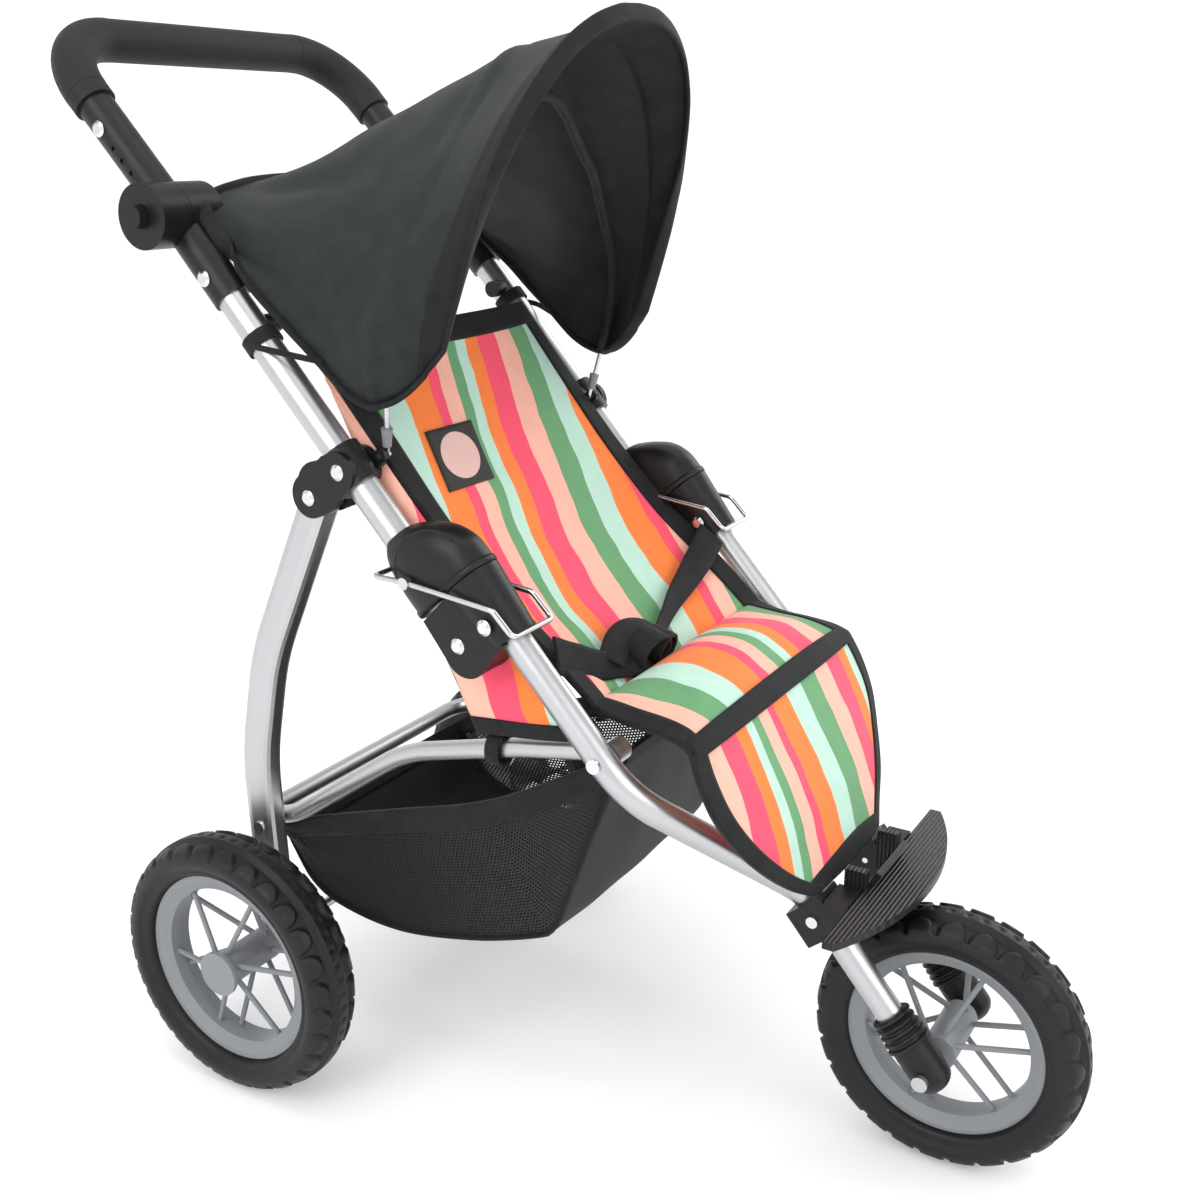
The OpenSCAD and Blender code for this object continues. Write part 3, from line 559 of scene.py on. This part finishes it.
# Soft folds that fan out of the crease where the back is pulled under the base
rows = np.linspace(0, 1, len(back_g))[:, None]
xs = np.linspace(-1, 1, COLS)[None, :]
rng = np.random.default_rng(8)
folds = np.zeros((len(back_g), COLS))
for at in (-0.72, -0.4, -0.05, 0.3, 0.62):
    line = at * (1 - 0.35 * (1 - rows)) + rng.uniform(-0.03, 0.03)
    ridge = rng.uniform(0.7, 1.2) * np.exp(-((xs - line) / 0.07)**2)
    folds += ridge * np.clip((rows - 0.55) / 0.45, 0, 1)**1.5
back_g = back_g + grid_normals(back_g) * (folds * 0.0011)[..., None]
base_g = wrinkle(base_g, 0.0014, 12, 0.6, 2.2)
flap_g = wrinkle(flap_g, 0.0013, 17, 0.5, 1.8)
# Every panel is one length of printed cloth: stripe is where it is cut from the print's repeat, in metres
STRIPE = {
    "back": lambda p: p[..., 0] + 0.057 - 0.28 * ((p - FOLD_AT) @ ALONG - 0.060),
    "base": lambda p: p[..., 0] + 0.018 + 0.12 * (p[..., 1] - REAR_Y + 0.225),
    "flap": lambda p: 0.120 - p[..., 0] * (1.08 - 0.13 * np.tanh(p[..., 0] / 0.02) + 1.2 * (p[..., 2] - 0.2)),
}


def panel(name, g, print_at, thick=0.0016):
    o = cloth(name, g, thick, MAT["stripe_fabric"])
    layer = o.data.uv_layers["cloth"].data
    u = print_at(np.array(g)).reshape(-1)
    m = len(u)
    for l in o.data.loops:
        layer[l.index].uv[0] = u[l.vertex_index % m]
    return o


def strip_along(g, width, over=0.0011):
    """A strip of the grid along its column 0, this wide, which reaches a little past the edge."""
    out = np.zeros((len(g), 7, 3))
    for j, row in enumerate(g):
        d = np.r_[0, np.linalg.norm(np.diff(row, axis=0), axis=1).cumsum()]
        at = np.linspace(0, width, 6)
        out[j, 1:] = np.stack([np.interp(at, d, row[:, c]) for c in range(3)], 1)
        out[j, 0] = row[0] + (row[0] - row[1]) / max(np.linalg.norm(row[0] - row[1]), 1e-9) * over
    return out


def tape(name, g, width=0.0105, thick=0.0034):
    return cloth(name, strip_along(g, width), thick, MAT["black_tape"])


turned = lambda g: np.transpose(g, (1, 0, 2))
seat_back = panel("seat_back_cloth", back_g, STRIPE["back"])
seat_front = panel("seat_base_cloth", base_g, STRIPE["base"])
seat_flap = panel("leg_flap_cloth", flap_g, STRIPE["flap"])
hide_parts("seat_back")
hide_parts("seat_base")
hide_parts("leg_flap")
back_tapes = [
    tape("seat_back_tape_right", back_g, 0.012),
    tape("seat_back_tape_left", back_g[:, ::-1], 0.012),
    tape("seat_back_tape_top", turned(back_g), 0.013),
]
base_tapes = [
    tape("seat_base_tape_right", base_g, 0.0095),
    tape("seat_base_tape_left", base_g[:, ::-1], 0.0095),
]
flap_tapes = [
    tape("leg_flap_tape_right", flap_g, 0.0095),
    tape("leg_flap_tape_left", flap_g[:, ::-1], 0.0095),
    tape("leg_flap_tape_low", turned(flap_g[::-1]), 0.0105),
]
knee_g = np.concatenate([base_g[-4:-1], flap_g[:3]])
base_tapes.append(cloth("knee_band", knee_g, 0.0038, MAT["black_tape"]))


# Side wings that hang from the back's edges down to the lower bars
def wing_grid(sign, rows=44, cols=22):
    front = spline([tube_pt(sign * 95, 158, 10), tube_pt(sign * 96, 60, 9), tube_pt(sign * 96.5, -20, 18),
                    tube_pt(sign * 97, -62, 26)], rows)
    rear = spline([floor_pt(sign * 96, -52, 391), floor_pt(sign * 97.5, -90, 316),
                   floor_pt(sign * 98.5, -119, 262), floor_pt(sign * 100, -138, 229)], rows)
    low = floor_pt(sign * 99, -207, 238)
    s = np.linspace(0, 1, rows)[:, None]
    front = front + (low - front[-1]) * s**8
    t = np.linspace(0, 1, cols)[None, :, None]
    g = rear[:, None] * (1 - t) + front[:, None] * t
    g[..., 0] += sign * 0.0022 * np.sin(math.pi * t[..., 0]) * s
    g[..., 0] += ripple(rows, cols, seed=40 + sign, low=0.5, high=2) * 0.0010
    return g


wings, wing_tapes = [], []
for sign, side_name in ((-1, "right"), (1, "left")):
    g = wing_grid(sign)
    across = np.linalg.norm(np.diff(g, axis=1), axis=2).cumsum(1)
    across = np.concatenate([np.zeros((len(g), 1)), across], 1)
    wing = cloth("seat_wing_" + side_name, g, 0.0014, MAT["stripe_fabric"])
    layer = wing.data.uv_layers["cloth"].data
    flat = (0.087 - across).reshape(-1)
    for l in wing.data.loops:
        layer[l.index].uv[0] = flat[l.vertex_index % len(flat)]
    wings.append(wing)
    wing_tapes.append(tape("wing_tape_low_" + side_name, turned(g[::-1]), 0.008, 0.003))

# Generic woven label: a dark square with a pale oval, and nothing written on it
def on_back(x, u):
    """The point of the seat back's cloth at x and u, in millimetres."""
    us = ((back_g[:, COLS // 2] - FOLD_AT) @ ALONG)[::-1] * 1000
    r = len(back_g) - 1 - np.interp(u, us, np.arange(len(us)))
    a = min(int(r), len(back_g) - 2)
    row = back_g[a] * (1 - (r - a)) + back_g[a + 1] * (r - a)
    return V([x / 1000, *[np.interp(x / 1000, row[:, 0], row[:, c]) for c in (1, 2)]])


label_g = V([[on_back(x - 0.24 * (104 - u), u) + ACROSS * 0.0015 for x in np.linspace(-60, -20, 17)]
             for u in np.linspace(105, 71, 15)])
label = cloth("seat_label", label_g, 0.0010, MAT["label"])
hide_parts("label_patch")
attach(label, "upper_frame")


def ribbon(name, path, face, width, thick, mat, rows=None):
    """A flat strap along a path; face is the direction that its broad side looks, one or one a point."""
    p = spline(path, rows or 40)
    f = spline(face, len(p)) if np.ndim(face) == 2 else np.array(face, float) * np.ones((len(p), 3))
    w = width if np.ndim(width) else [width] * 2
    w = np.interp(np.linspace(0, 1, len(p)), np.linspace(0, 1, len(w)), w)
    t = np.gradient(p, axis=0)
    side = np.cross(t, f)
    side /= np.linalg.norm(side, axis=1, keepdims=True)
    a = np.linspace(-0.5, 0.5, 9)
    g = p[:, None] + side[:, None] * a[None, :, None] * w[:, None, None]
    up = np.cross(side, t)
    up /= np.linalg.norm(up, axis=1, keepdims=True)
    # The strap is very slightly cupped across its width
    g = g - up[:, None] * ((2 * a[None, :, None])**2) * 0.0006
    return cloth(name, g, thick, mat)


strap_far = ribbon("lap_belt_left", [
    tube_pt(95, -12, 26), tube_pt(80, -18, 24), tube_pt(58, -26, 20),
    tube_pt(35, -33, 18), tube_pt(14, -40, 19), tube_pt(-6, -46, 22)],
    [V([-0.15, -0.75, 0.6]), V([-0.1, -0.7, 0.7]), V([0, -0.6, 0.8]),
     V([0.1, -0.75, 0.6]), V([0.2, -0.9, 0.3])],
    [0.018, 0.0165, 0.013, 0.009, 0.008], 0.0014, MAT["black_tape"], 60)
strap_near = ribbon("lap_belt_right", [
    tube_pt(-94, -30, 26), tube_pt(-82, -37, 24), tube_pt(-66, -44, 22),
    tube_pt(-50, -50, 23), tube_pt(-36, -54, 27)],
    [V([0.1, -0.8, 0.5]), V([0.1, -0.9, 0.3]), V([-0.2, -0.7, 0.6]), V([-0.1, -0.8, 0.6])],
    [0.020, 0.018, 0.014, 0.013], 0.0015, MAT["black_tape"], 50)
crotch = ribbon("crotch_strap", [
    floor_pt(-16, -190, 263), floor_pt(-18, -187, 268), floor_pt(-30, -185, 270), floor_pt(-44, -186, 268),
    floor_pt(-58, -190, 262)],
    [V([0, -0.3, 0.95]), V([0, -0.5, 0.86])], [0.015, 0.014], 0.0014, MAT["black_tape"], 40)
# The two ends of the belt meet in a soft knot of hook-and-loop tape
knot = []
KNOT = [((-20, -51, 27), (0.0095, 0.0075), 0.4), ((-31, -50, 28), (0.0120, 0.0085), -0.3)]
for k, (c, r, tilt) in enumerate(KNOT):
    c = tube_pt(*c)
    loop = []
    for a in np.linspace(0, 2 * math.pi, 34, endpoint=False):
        x, z = r[0] * math.cos(a), r[1] * math.sin(a)
        loop.append(c + V([x, -0.3 * z + tilt * x * 0.2, z]))
    knot.append(sweep("belt_buckle_loop_%d" % (k + 1), loop, oval(0.0068, 0.0012, 16, 4), MAT["black_tape"],
                      normal=[V(q) - c for q in loop], closed=True))
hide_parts("lap_belt")
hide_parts("belt_buckle")

for o in [seat_back] + back_tapes + wings + wing_tapes:
    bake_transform(o)
for o in [seat_front, seat_flap, strap_far, strap_near, crotch] + base_tapes + flap_tapes + knot:
    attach(o, "front_frame")

# ---------- canopy ----------
BOW_SECTION = [(0.94, 0), (0.985, 0.08), (1, 0.17), (0.985, 0.26), (0.90, 0.37), (0.775, 0.5), (0.6, 0.66),
               (0.41, 0.80), (0.22, 0.935), (0.09, 0.99), (0, 1)]
BRIM_SECTION = [(1, 0), (0.995, 0.13), (0.985, 0.27), (0.965, 0.40), (0.92, 0.55), (0.79, 0.73), (0.6, 0.87),
                (0.4, 0.95), (0.2, 0.99), (0.09, 0.997), (0, 1)]
HEM_SECTION = [(1, 0), (0.97, 0.12), (0.93, 0.24), (0.87, 0.36), (0.80, 0.48), (0.69, 0.62), (0.55, 0.76),
               (0.4, 0.88), (0.22, 0.965), (0.1, 0.99), (0, 1)]
# Side view of the hood from the rear hem to the front edge: lower edge, ridge and half-width
EDGE_LINE = [(16, 475), (-7, 448), (-26, 431), (-46, 414), (-69, 394), (-88, 388), (-105, 396), (-121, 415)]
RIDGE_LINE = [(45, 487), (16, 500), (-12, 513), (-38, 525), (-70, 538), (-107, 551), (-140, 560), (-172, 565)]
HALF_LINE = [106, 108, 109.5, 110, 110.5, 110, 104, 95]
HOOD_ROWS, HOOD_HALF = 73, 46


def hood_grid(grow=0.0):
    t = np.linspace(0, 1, HOOD_ROWS)
    s = spline([(*e, *r, h) for e, r, h in zip(EDGE_LINE, RIDGE_LINE, HALF_LINE)], HOOD_ROWS)
    bow_at = 5 / (len(EDGE_LINE) - 1)
    secs = [spline(q, HOOD_HALF) for q in (HEM_SECTION, BOW_SECTION, BRIM_SECTION)]
    g = np.zeros((HOOD_ROWS, 2 * HOOD_HALF - 1, 3))
    for j in range(HOOD_ROWS):
        f = t[j]
        if f < bow_at:
            a = (f / bow_at)**0.8
            sec = secs[0] * (1 - a) + secs[1] * a
        else:
            a = (f - bow_at) / (1 - bow_at)
            sec = secs[1] * (1 - a) + secs[2] * a
        ey, ez, ry, rz, w = s[j]
        xs = np.r_[-sec[:, 0], sec[-2::-1, 0]] * (w + grow)
        hs = np.r_[sec[:, 1], sec[-2::-1, 1]]
        g[j, :, 0] = xs / 1000
        g[j, :, 1] = REAR_Y + (ey + (ry - ey) * hs) / 1000
        g[j, :, 2] = (ez + (rz - ez) * hs) / 1000
    return g, t, bow_at


hood_g, hood_t, bow_at = hood_grid()
hn = grid_normals(hood_g)
if hn[HOOD_ROWS // 2, HOOD_HALF][2] < 0:
    hn = -hn
rows, cols = hood_g.shape[:2]
tt, xx = np.meshgrid(hood_t, np.linspace(-1, 1, cols), indexing="ij")
sag = np.zeros((rows, cols))
# Cloth hollows between the hem and the bow, and again between the bow and the front edge
rear = np.clip(tt / bow_at, 0, 1)
front = np.clip((tt - bow_at) / (1 - bow_at), 0, 1)
sag -= 0.0012 * np.sin(math.pi * rear) * (1 - abs(xx)**3)
sag -= 0.0025 * np.sin(math.pi * front) * (1 - abs(xx)**4)
# Soft folds that run from the rear corners up towards the bow
rng = np.random.default_rng(11)
for side_sign in (-1, 1):
    for _ in range(9):
        at_x, width = rng.uniform(0.35, 0.95), rng.uniform(0.05, 0.10)
        lean, depth = rng.uniform(-0.5, 0.3), rng.uniform(0.0012, 0.0030)
        line = at_x * side_sign + lean * side_sign * (rear - 0.2) * 0.5
        fade = np.sin(math.pi * np.clip(rear * 1.1, 0, 1)) * (tt < bow_at)
        sag += depth * np.exp(-((xx - line) / width)**2) * fade * rng.choice([-1, 1])
sag += ripple(rows, cols, seed=5, low=0.6, high=2.6) * 0.0018 * np.sin(math.pi * np.clip(tt, 0, 1))
sag += ripple(rows, cols, seed=6, low=2.0, high=6.0) * 0.0007 * np.sin(math.pi * np.clip(tt, 0, 1))
# The pocket sewn over the bow stands proud as a narrow band, and so does the front hem
sag += 0.0011 * np.exp(-((tt - bow_at) / 0.018)**2)
sag -= 0.0007 * np.exp(-((tt - bow_at - 0.04) / 0.006)**2)
sag -= 0.0008 * np.exp(-((tt - 0.925) / 0.006)**2)
hood_g = hood_g + hn * sag[..., None]
hood = cloth("canopy_cloth", hood_g, 0.0014, MAT["canopy_fabric"])
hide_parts("canopy")


def edge_tape(name, line, normal, mat, half=0.0042, thick=0.0013):
    return sweep(name, line, oval(half, thick, 12, 3), mat, normal=normal)


along, across = np.gradient(hood_g, axis=0), np.gradient(hood_g, axis=1)
tape_pieces = [edge_tape("canopy_%s_tape" % edge, line, normal, MAT["black_tape"])
               for edge, line, normal in (("front", hood_g[-1], -along[-1]), ("rear", hood_g[0], along[0]),
                                          ("right", hood_g[:, 0], across[:, 0]),
                                          ("left", hood_g[:, -1], -across[:, -1]))]
tape_pieces.append(cloth("canopy_front_band", hood_g[-9:], 0.0030, MAT["black_tape"]))
# The pocket that the bow wire runs in, under the cloth
foot, lean = tube_pt(0, 99, 12.6), math.radians(101)
BOW_UP = V([0, math.cos(lean), math.sin(lean)])
POCKET = [(100.2, 26), (103.6, 44), (103.2, 58), (97.5, 79), (88, 93), (60.5, 129), (46, 141), (24, 160),
          (9, 169), (0, 170.5)]
half = [foot + V([-x / 1000, 0, 0]) + BOW_UP * (h / 1000) for x, h in POCKET]
pocket_path = spline(half + [q * V([-1, 1, 1]) for q in half[-2::-1]], 150)
tape_pieces.append(sweep("canopy_bow_pocket", pocket_path, oval(0.0026, 0.0026, 14, 2), MAT["canopy_fabric"]))
for piece in [hood] + tape_pieces:
    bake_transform(piece)

# ---------- basket ----------
# Side outline in the side view, from the rear top corner round the bottom to the front top corner
BASKET_LOW = [(14, 132), (6, 118), (-8, 100), (-30, 91), (-72, 88), (-120, 97), (-158, 109), (-170, 117),
              (-179, 140), (-192, 180), (-207, 222)]
LIP = [(14, 132), (-20, 147), (-80, 166), (-140, 186), (-207, 222)]
# Half-width of the basket along its lip, from the rear to the front
WIDE = [92, 93, 92, 88, 80]


def basket_half(n):
    return np.interp(np.linspace(0, 1, n), np.linspace(0, 1, len(WIDE)), WIDE)


def basket_side(sign, rows, cols, sag):
    low, top, wide = spline(BASKET_LOW, cols), spline(LIP, cols), basket_half(cols)
    g = np.zeros((rows, cols, 3))
    for j, s in enumerate(np.linspace(0, 1, rows)):
        line = top * (1 - s) + low * s
        # The side draws in towards the bottom and hollows between the lip and the seam
        out = wide - 8 * s**1.5 - sag * math.sin(math.pi * s) * np.sin(np.linspace(0, math.pi, cols))
        g[j, :, 0] = sign * out / 1000
        g[j, :, 1] = REAR_Y + line[:, 0] / 1000
        g[j, :, 2] = line[:, 1] / 1000
    return g


def basket_floor(rows, cols):
    low, wide = spline(BASKET_LOW, rows), basket_half(rows)
    g = np.zeros((rows, cols, 3))
    x = np.linspace(-1, 1, cols)
    for j, (y, z) in enumerate(low):
        dip = 3.5 * math.sin(math.pi * j / (rows - 1)) * (1 - x**2)
        g[j, :, 0] = (wide[j] - 8) * x / 1000
        g[j, :, 1] = REAR_Y + y / 1000
        g[j, :, 2] = (z - dip) / 1000
    return g


basket_sheets, basket_trims = [], []
for sign, side_name in ((-1, "right"), (1, "left")):
    g = basket_side(sign, 36, 80, 3.0)
    g[..., 0] += ripple(36, 80, seed=20 + sign, low=0.5, high=3) * 0.0010
    basket_sheets.append(cloth("basket_net_" + side_name, g, 0.0006, MAT["mesh"]))
    basket_trims.append(cloth("basket_band_" + side_name, strip_along(turned(g), 0.0125), 0.0024,
                              MAT["black_tape"]))
    seam = g[-1] + V([sign * 0.0006, 0, 0])
    basket_trims.append(sweep("basket_seam_" + side_name, seam, oval(0.0018, 0.0013, 10, 2),
                              MAT["black_tape"]))
g = basket_floor(110, 50)
g = g + grid_normals(g) * (ripple(110, 50, seed=31, low=0.5, high=3) * 0.0012)[..., None]
basket_base = cloth("basket_floor", g, 0.0014, MAT["black_cloth"])
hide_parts("basket")
for end_name, end_g in (("rear", g), ("front", g[::-1])):
    basket_trims.append(cloth("basket_band_" + end_name, strip_along(turned(end_g), 0.0110), 0.0026,
                              MAT["black_tape"]))
# The basket moves with its bars: each piece hangs from the lower bars and gets its own mesh
for o in basket_sheets + [basket_base] + basket_trims:
    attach(o, "lower_bars")
    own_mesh(o)

# ---------- latch domes ----------
def loft(name, sections, mat, body, power=2.5, n=40):
    """A closed body through oval sections: (centre, side half-width, side way, up half-width, up way)."""
    a = np.linspace(0, 2 * math.pi, n, endpoint=False)
    c, q = np.cos(a), np.sin(a)
    e = 2 / power
    c, q = np.sign(c) * abs(c)**e, np.sign(q) * abs(q)**e
    rings = V([V(m)[None] + w * c[:, None] * V(sw)[None] + h * q[:, None] * V(uw)[None]
               for m, w, sw, h, uw in sections])
    faces = grid_faces(len(rings), n, wrap_i=True)
    faces += [tuple(range(n))[::-1], tuple((len(rings) - 1) * n + k for k in range(n))]
    return link(name, rings.reshape(-1, 3), faces, mat, body)


DOME = [(22.4, 11.8, 25.2, 14.2), (30, 11.8, 25.3, 14.3), (37, 11.4, 24.9, 14.2), (44, 10.0, 23.0, 13.9),
        (50, 8.2, 20.0, 13.2), (55, 6.0, 16.0, 12.0), (58.6, 4.2, 12.0, 10.2), (60.8, 3.2, 9.0, 8.6)]
for sign, side_name in ((-1, "right"), (1, "left")):
    s = spline(DOME, 36)
    secs = [(tube_pt(sign * HALF_W, u, v), w / 1000, (1, 0, 0), h / 1000, ACROSS) for u, v, h, w in s]
    dome = loft("latch_dome_cover_" + side_name, secs, MAT["black_plastic"], "upper_frame")
    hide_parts("latch_dome_" + side_name)
    # Raised line round the crown of the dome, and the lip where it meets the lower shell
    ridge = []
    for a in np.linspace(-1.25, 1.25, 60):
        u, v = 33 + 22 * math.cos(a), 12 + 21 * math.sin(a)
        half_w = np.interp(u, s[:, 0], s[:, 3])
        mid, half_v = np.interp(u, s[:, 0], s[:, 1]), np.interp(u, s[:, 0], s[:, 2])
        off = half_w * max(0.0, 1 - abs((v - mid) / half_v)**2.5)**0.4
        ridge.append(tube_pt(sign * (HALF_W + off - 0.2), u, v))
    sweep("latch_dome_line_" + side_name, ridge, oval(0.0009, 0.0006, 10, 2), MAT["black_plastic"],
          "upper_frame", normal=(sign, 0, 0))
    collar = [(tube_pt(sign * HALF_W, u, 11.8), w / 1000, (1, 0, 0), h / 1000, ACROSS)
              for u, w, h in ((22.3, 14.4, 25.5), (22.8, 14.9, 26.0), (25.4, 14.9, 26.0), (26, 14.3, 25.3))]
    loft("latch_dome_lip_" + side_name, collar, MAT["black_plastic"], "upper_frame")

# ---------- bellows of the fork boots ----------
AXLE = floor_pt(0, -358.2, 70.8)
FORK_DIR = AXLE - floor_pt(0, -291.5, 150)
FORK_DIR /= np.linalg.norm(FORK_DIR)
X_AXIS = V([1, 0, 0])
for side_name in ("right", "left"):
    lo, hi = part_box("fork_boot_" + side_name)
    end = V([(lo[0] + hi[0]) / 2, AXLE[1], AXLE[2]])
    for k in range(5):
        # Each ring is a little wider than the last, down to the smooth end of the boot
        ring_r = 0.0093 + 0.0003 * k
        c = end - FORK_DIR * (0.0315 - 0.0037 * k)
        turn = np.linspace(0, 2 * math.pi, 48, endpoint=False)
        ring = [c + ring_r * (math.cos(a) * X_AXIS + math.sin(a) * np.cross(FORK_DIR, X_AXIS)) for a in turn]
        sweep("boot_ring_%s_%d" % (side_name, k + 1), ring, oval(0.0011, 0.0011, 12, 2), MAT["boot"],
              "front_frame", normal=[q - c for q in ring], closed=True)

# ---------- small soft parts ----------
for sign, side_name in ((-1, "right"), (1, "left")):
    c = floor_pt(sign * 96.5, -148, 220)
    # Elastic of the side wing, round the lower bar
    turn = np.linspace(0, 2 * math.pi, 30, endpoint=False)
    loop = [c + V([0.0073 * math.cos(a), 0, 0.0080 * math.sin(a)]) for a in turn]
    sweep("bar_loop_" + side_name, loop, oval(0.0042, 0.0009, 12, 3), MAT["black_tape"], "lower_bars",
          normal=[q - c for q in loop], closed=True)
    # Elastic that holds the hood's lower edge to the tube
    tie = spline([tube_pt(sign * 106, 150, 22), tube_pt(sign * 112, 160, 15), tube_pt(sign * 117.5, 170, 8),
                  tube_pt(sign * 118, 178, 1)], 30)
    sweep("hood_tie_" + side_name, tie, oval(0.0016, 0.0007, 10, 2), MAT["black_tape"], "upper_frame",
          normal=(sign, 0, 0))

# ---------- tyres ----------
def tyre(name, node, body, lugs):
    lo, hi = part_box(node)
    c = V((lo + hi) / 2)
    r, half = (hi.z - lo.z) / 2, (hi.x - lo.x) / 2
    rim_r = r - 0.0195
    # Half section from the bead on one side over the crown to the other: across, radius
    crown = [(-0.70, rim_r), (-0.80, rim_r + 0.0012), (-0.87, rim_r + 0.0030), (-0.84, rim_r + 0.0040),
             (-0.97, rim_r + 0.0062), (-1.0, rim_r + 0.0090), (-0.985, rim_r + 0.0112),
             (-0.95, rim_r + 0.0128)]
    a = np.linspace(-66, 66, 33)
    crown += [(0.93 * math.sin(math.radians(q)) / math.sin(math.radians(66)),
               r - 0.0088 + 0.0088 * math.cos(math.radians(q))) for q in a]
    crown += [(-w, q) for w, q in crown[7::-1]]
    crown = V(crown)
    crown[:, 0] *= half
    step = 14
    n = lugs * step
    theta = np.arange(n) / n * 2 * math.pi
    pitch = 2 * math.pi * r / lugs
    along = (np.arange(n) % step) / step * pitch
    g = np.zeros((n, len(crown), 3))
    w, rad = crown[:, 0], crown[:, 1]
    depth = np.zeros((n, len(crown)))
    on_crown = np.clip((rad - (rim_r + 0.0128)) / 0.0018, 0, 1)
    for k, s in enumerate((-1, 1)):
        t0 = (along + (0 if s < 0 else pitch / 2)) % pitch - pitch / 2
        # Half-round blocks that stand on each shoulder, half a pitch apart from side to side
        d = np.sqrt((t0[:, None])**2 + ((w * s)[None, :] - half * 0.93)**2 * 0.9)
        block = np.clip((0.42 * pitch + 0.0006 - d) / 0.0012, 0, 1)
        keep = (w * s > 0.0038)[None, :] * on_crown[None, :]
        depth += keep * (1 - block) * 0.0030
        # Dimple in each block
        dimple = np.clip((0.0016 - d) / 0.001, 0, 1) * (w * s > 0)[None, :] * on_crown[None, :]
        depth += dimple * 0.0006
    t0 = along % (pitch / 2) - pitch / 4
    pit = (abs(t0)[:, None] < 0.0018) * (abs(w)[None, :] < 0.0014) * 1.0
    depth += pit * 0.0009
    rr = rad[None, :] - depth
    g[..., 0] = c[0] + w[None, :]
    g[..., 1] = c[1] + rr * np.cos(theta)[:, None]
    g[..., 2] = c[2] + rr * np.sin(theta)[:, None]
    m = len(crown)
    faces = grid_faces(n, m, wrap_i=True, wrap_j=True)
    o = link(name, g.reshape(-1, 3), [f[::-1] for f in faces], MAT["tyre"], body)
    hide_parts(node)
    return o


tyre("front_tyre_tread", "front_tyre", "front_wheel", 26)
tyre("rear_tyre_tread_right", "rear_tyre_right", "rear_wheel_right", 28)
tyre("rear_tyre_tread_left", "rear_tyre_left", "rear_wheel_left", 28)

# ---------- stage ----------
AZ, EL = math.radians(-59.25), math.radians(18.12)
back = Vector((math.sin(AZ) * math.cos(EL), -math.cos(AZ) * math.cos(EL), math.sin(EL)))
cam_data = bpy.data.cameras.new("camera")
cam_data.lens = 42.18
cam_data.sensor_width = 36
cam = bpy.data.objects.new("camera", cam_data)
bpy.context.scene.collection.objects.link(cam)
right = Vector((0, 0, 1)).cross(back).normalized()
up = back.cross(right)
cam.matrix_world = Matrix((
    (right.x, up.x, back.x, -0.6233),
    (right.y, up.y, back.y, -0.3675),
    (right.z, up.z, back.z, 0.5080),
    (0, 0, 0, 1),
))
bpy.context.scene.camera = cam


def stage_floor():
    """A round floor that curves up into a pale wall on all sides, as a studio sweep does."""
    flat_r, curve_r, top, n = 2.4, 1.0, 2.6, 96
    profile = [(0.0, 0), (0.6, 0), (1.2, 0), (1.8, 0), (flat_r, 0)]
    profile += [(flat_r + curve_r * math.sin(a), curve_r * (1 - math.cos(a)))
                for a in np.linspace(0.1, math.pi / 2, 14)]
    profile.append((flat_r + curve_r, top))
    verts = [(r * math.cos(a), r * math.sin(a), z) for r, z in profile[1:]
             for a in np.linspace(0, 2 * math.pi, n, endpoint=False)]
    verts.append((0, 0, 0))
    rings = len(profile) - 1
    faces = grid_faces(rings, n, wrap_i=True)
    faces += [(len(verts) - 1, (i + 1) % n, i) for i in range(n)]
    me = bpy.data.meshes.new("floor")
    me.from_pydata(verts, [], [f[::-1] for f in faces])
    me.polygons.foreach_set("use_smooth", [True] * len(me.polygons))
    o = bpy.data.objects.new("floor", me)
    bpy.context.scene.collection.objects.link(o)
    m, t, b = new_material("floor_white", (0.90, 0.90, 0.905), 0.8)
    b.inputs["Specular IOR Level"].default_value = 0.1
    b.inputs["Emission Color"].default_value = (1, 1, 1, 1)
    b.inputs["Emission Strength"].default_value = 0.14
    me.materials.append(m)


stage_floor()


def area_light(name, loc, target, size, power, color=(1, 1, 1)):
    d = bpy.data.lights.new(name, "AREA")
    d.shape = "RECTANGLE"
    d.size, d.size_y = size
    d.energy = power
    d.color = color
    o = bpy.data.objects.new(name, d)
    bpy.context.scene.collection.objects.link(o)
    o.location = loc
    o.rotation_euler = (Vector(target) - Vector(loc)).to_track_quat("-Z", "Y").to_euler()
    return o


area_light("key_left", (-1.9, 0.2, 1.6), (0, 0, 0.25), (1.2, 1.6), 22)
area_light("fill_front", (-0.6, -2.4, 1.5), (0, 0, 0.25), (1.8, 1.4), 18)
area_light("top", (0, 0, 2.3), (0, 0, 0), (2.0, 2.0), 15)
area_light("rim_right", (2.0, -0.6, 1.4), (0, 0, 0.3), (1.0, 1.6), 12)
world = bpy.data.worlds.new("studio")
world.use_nodes = True
world.node_tree.nodes["Background"].inputs["Color"].default_value = (0.95, 0.96, 0.98, 1)
world.node_tree.nodes["Background"].inputs["Strength"].default_value = 0.72
bpy.context.scene.world = world
bpy.context.scene.view_settings.view_transform = "Standard"
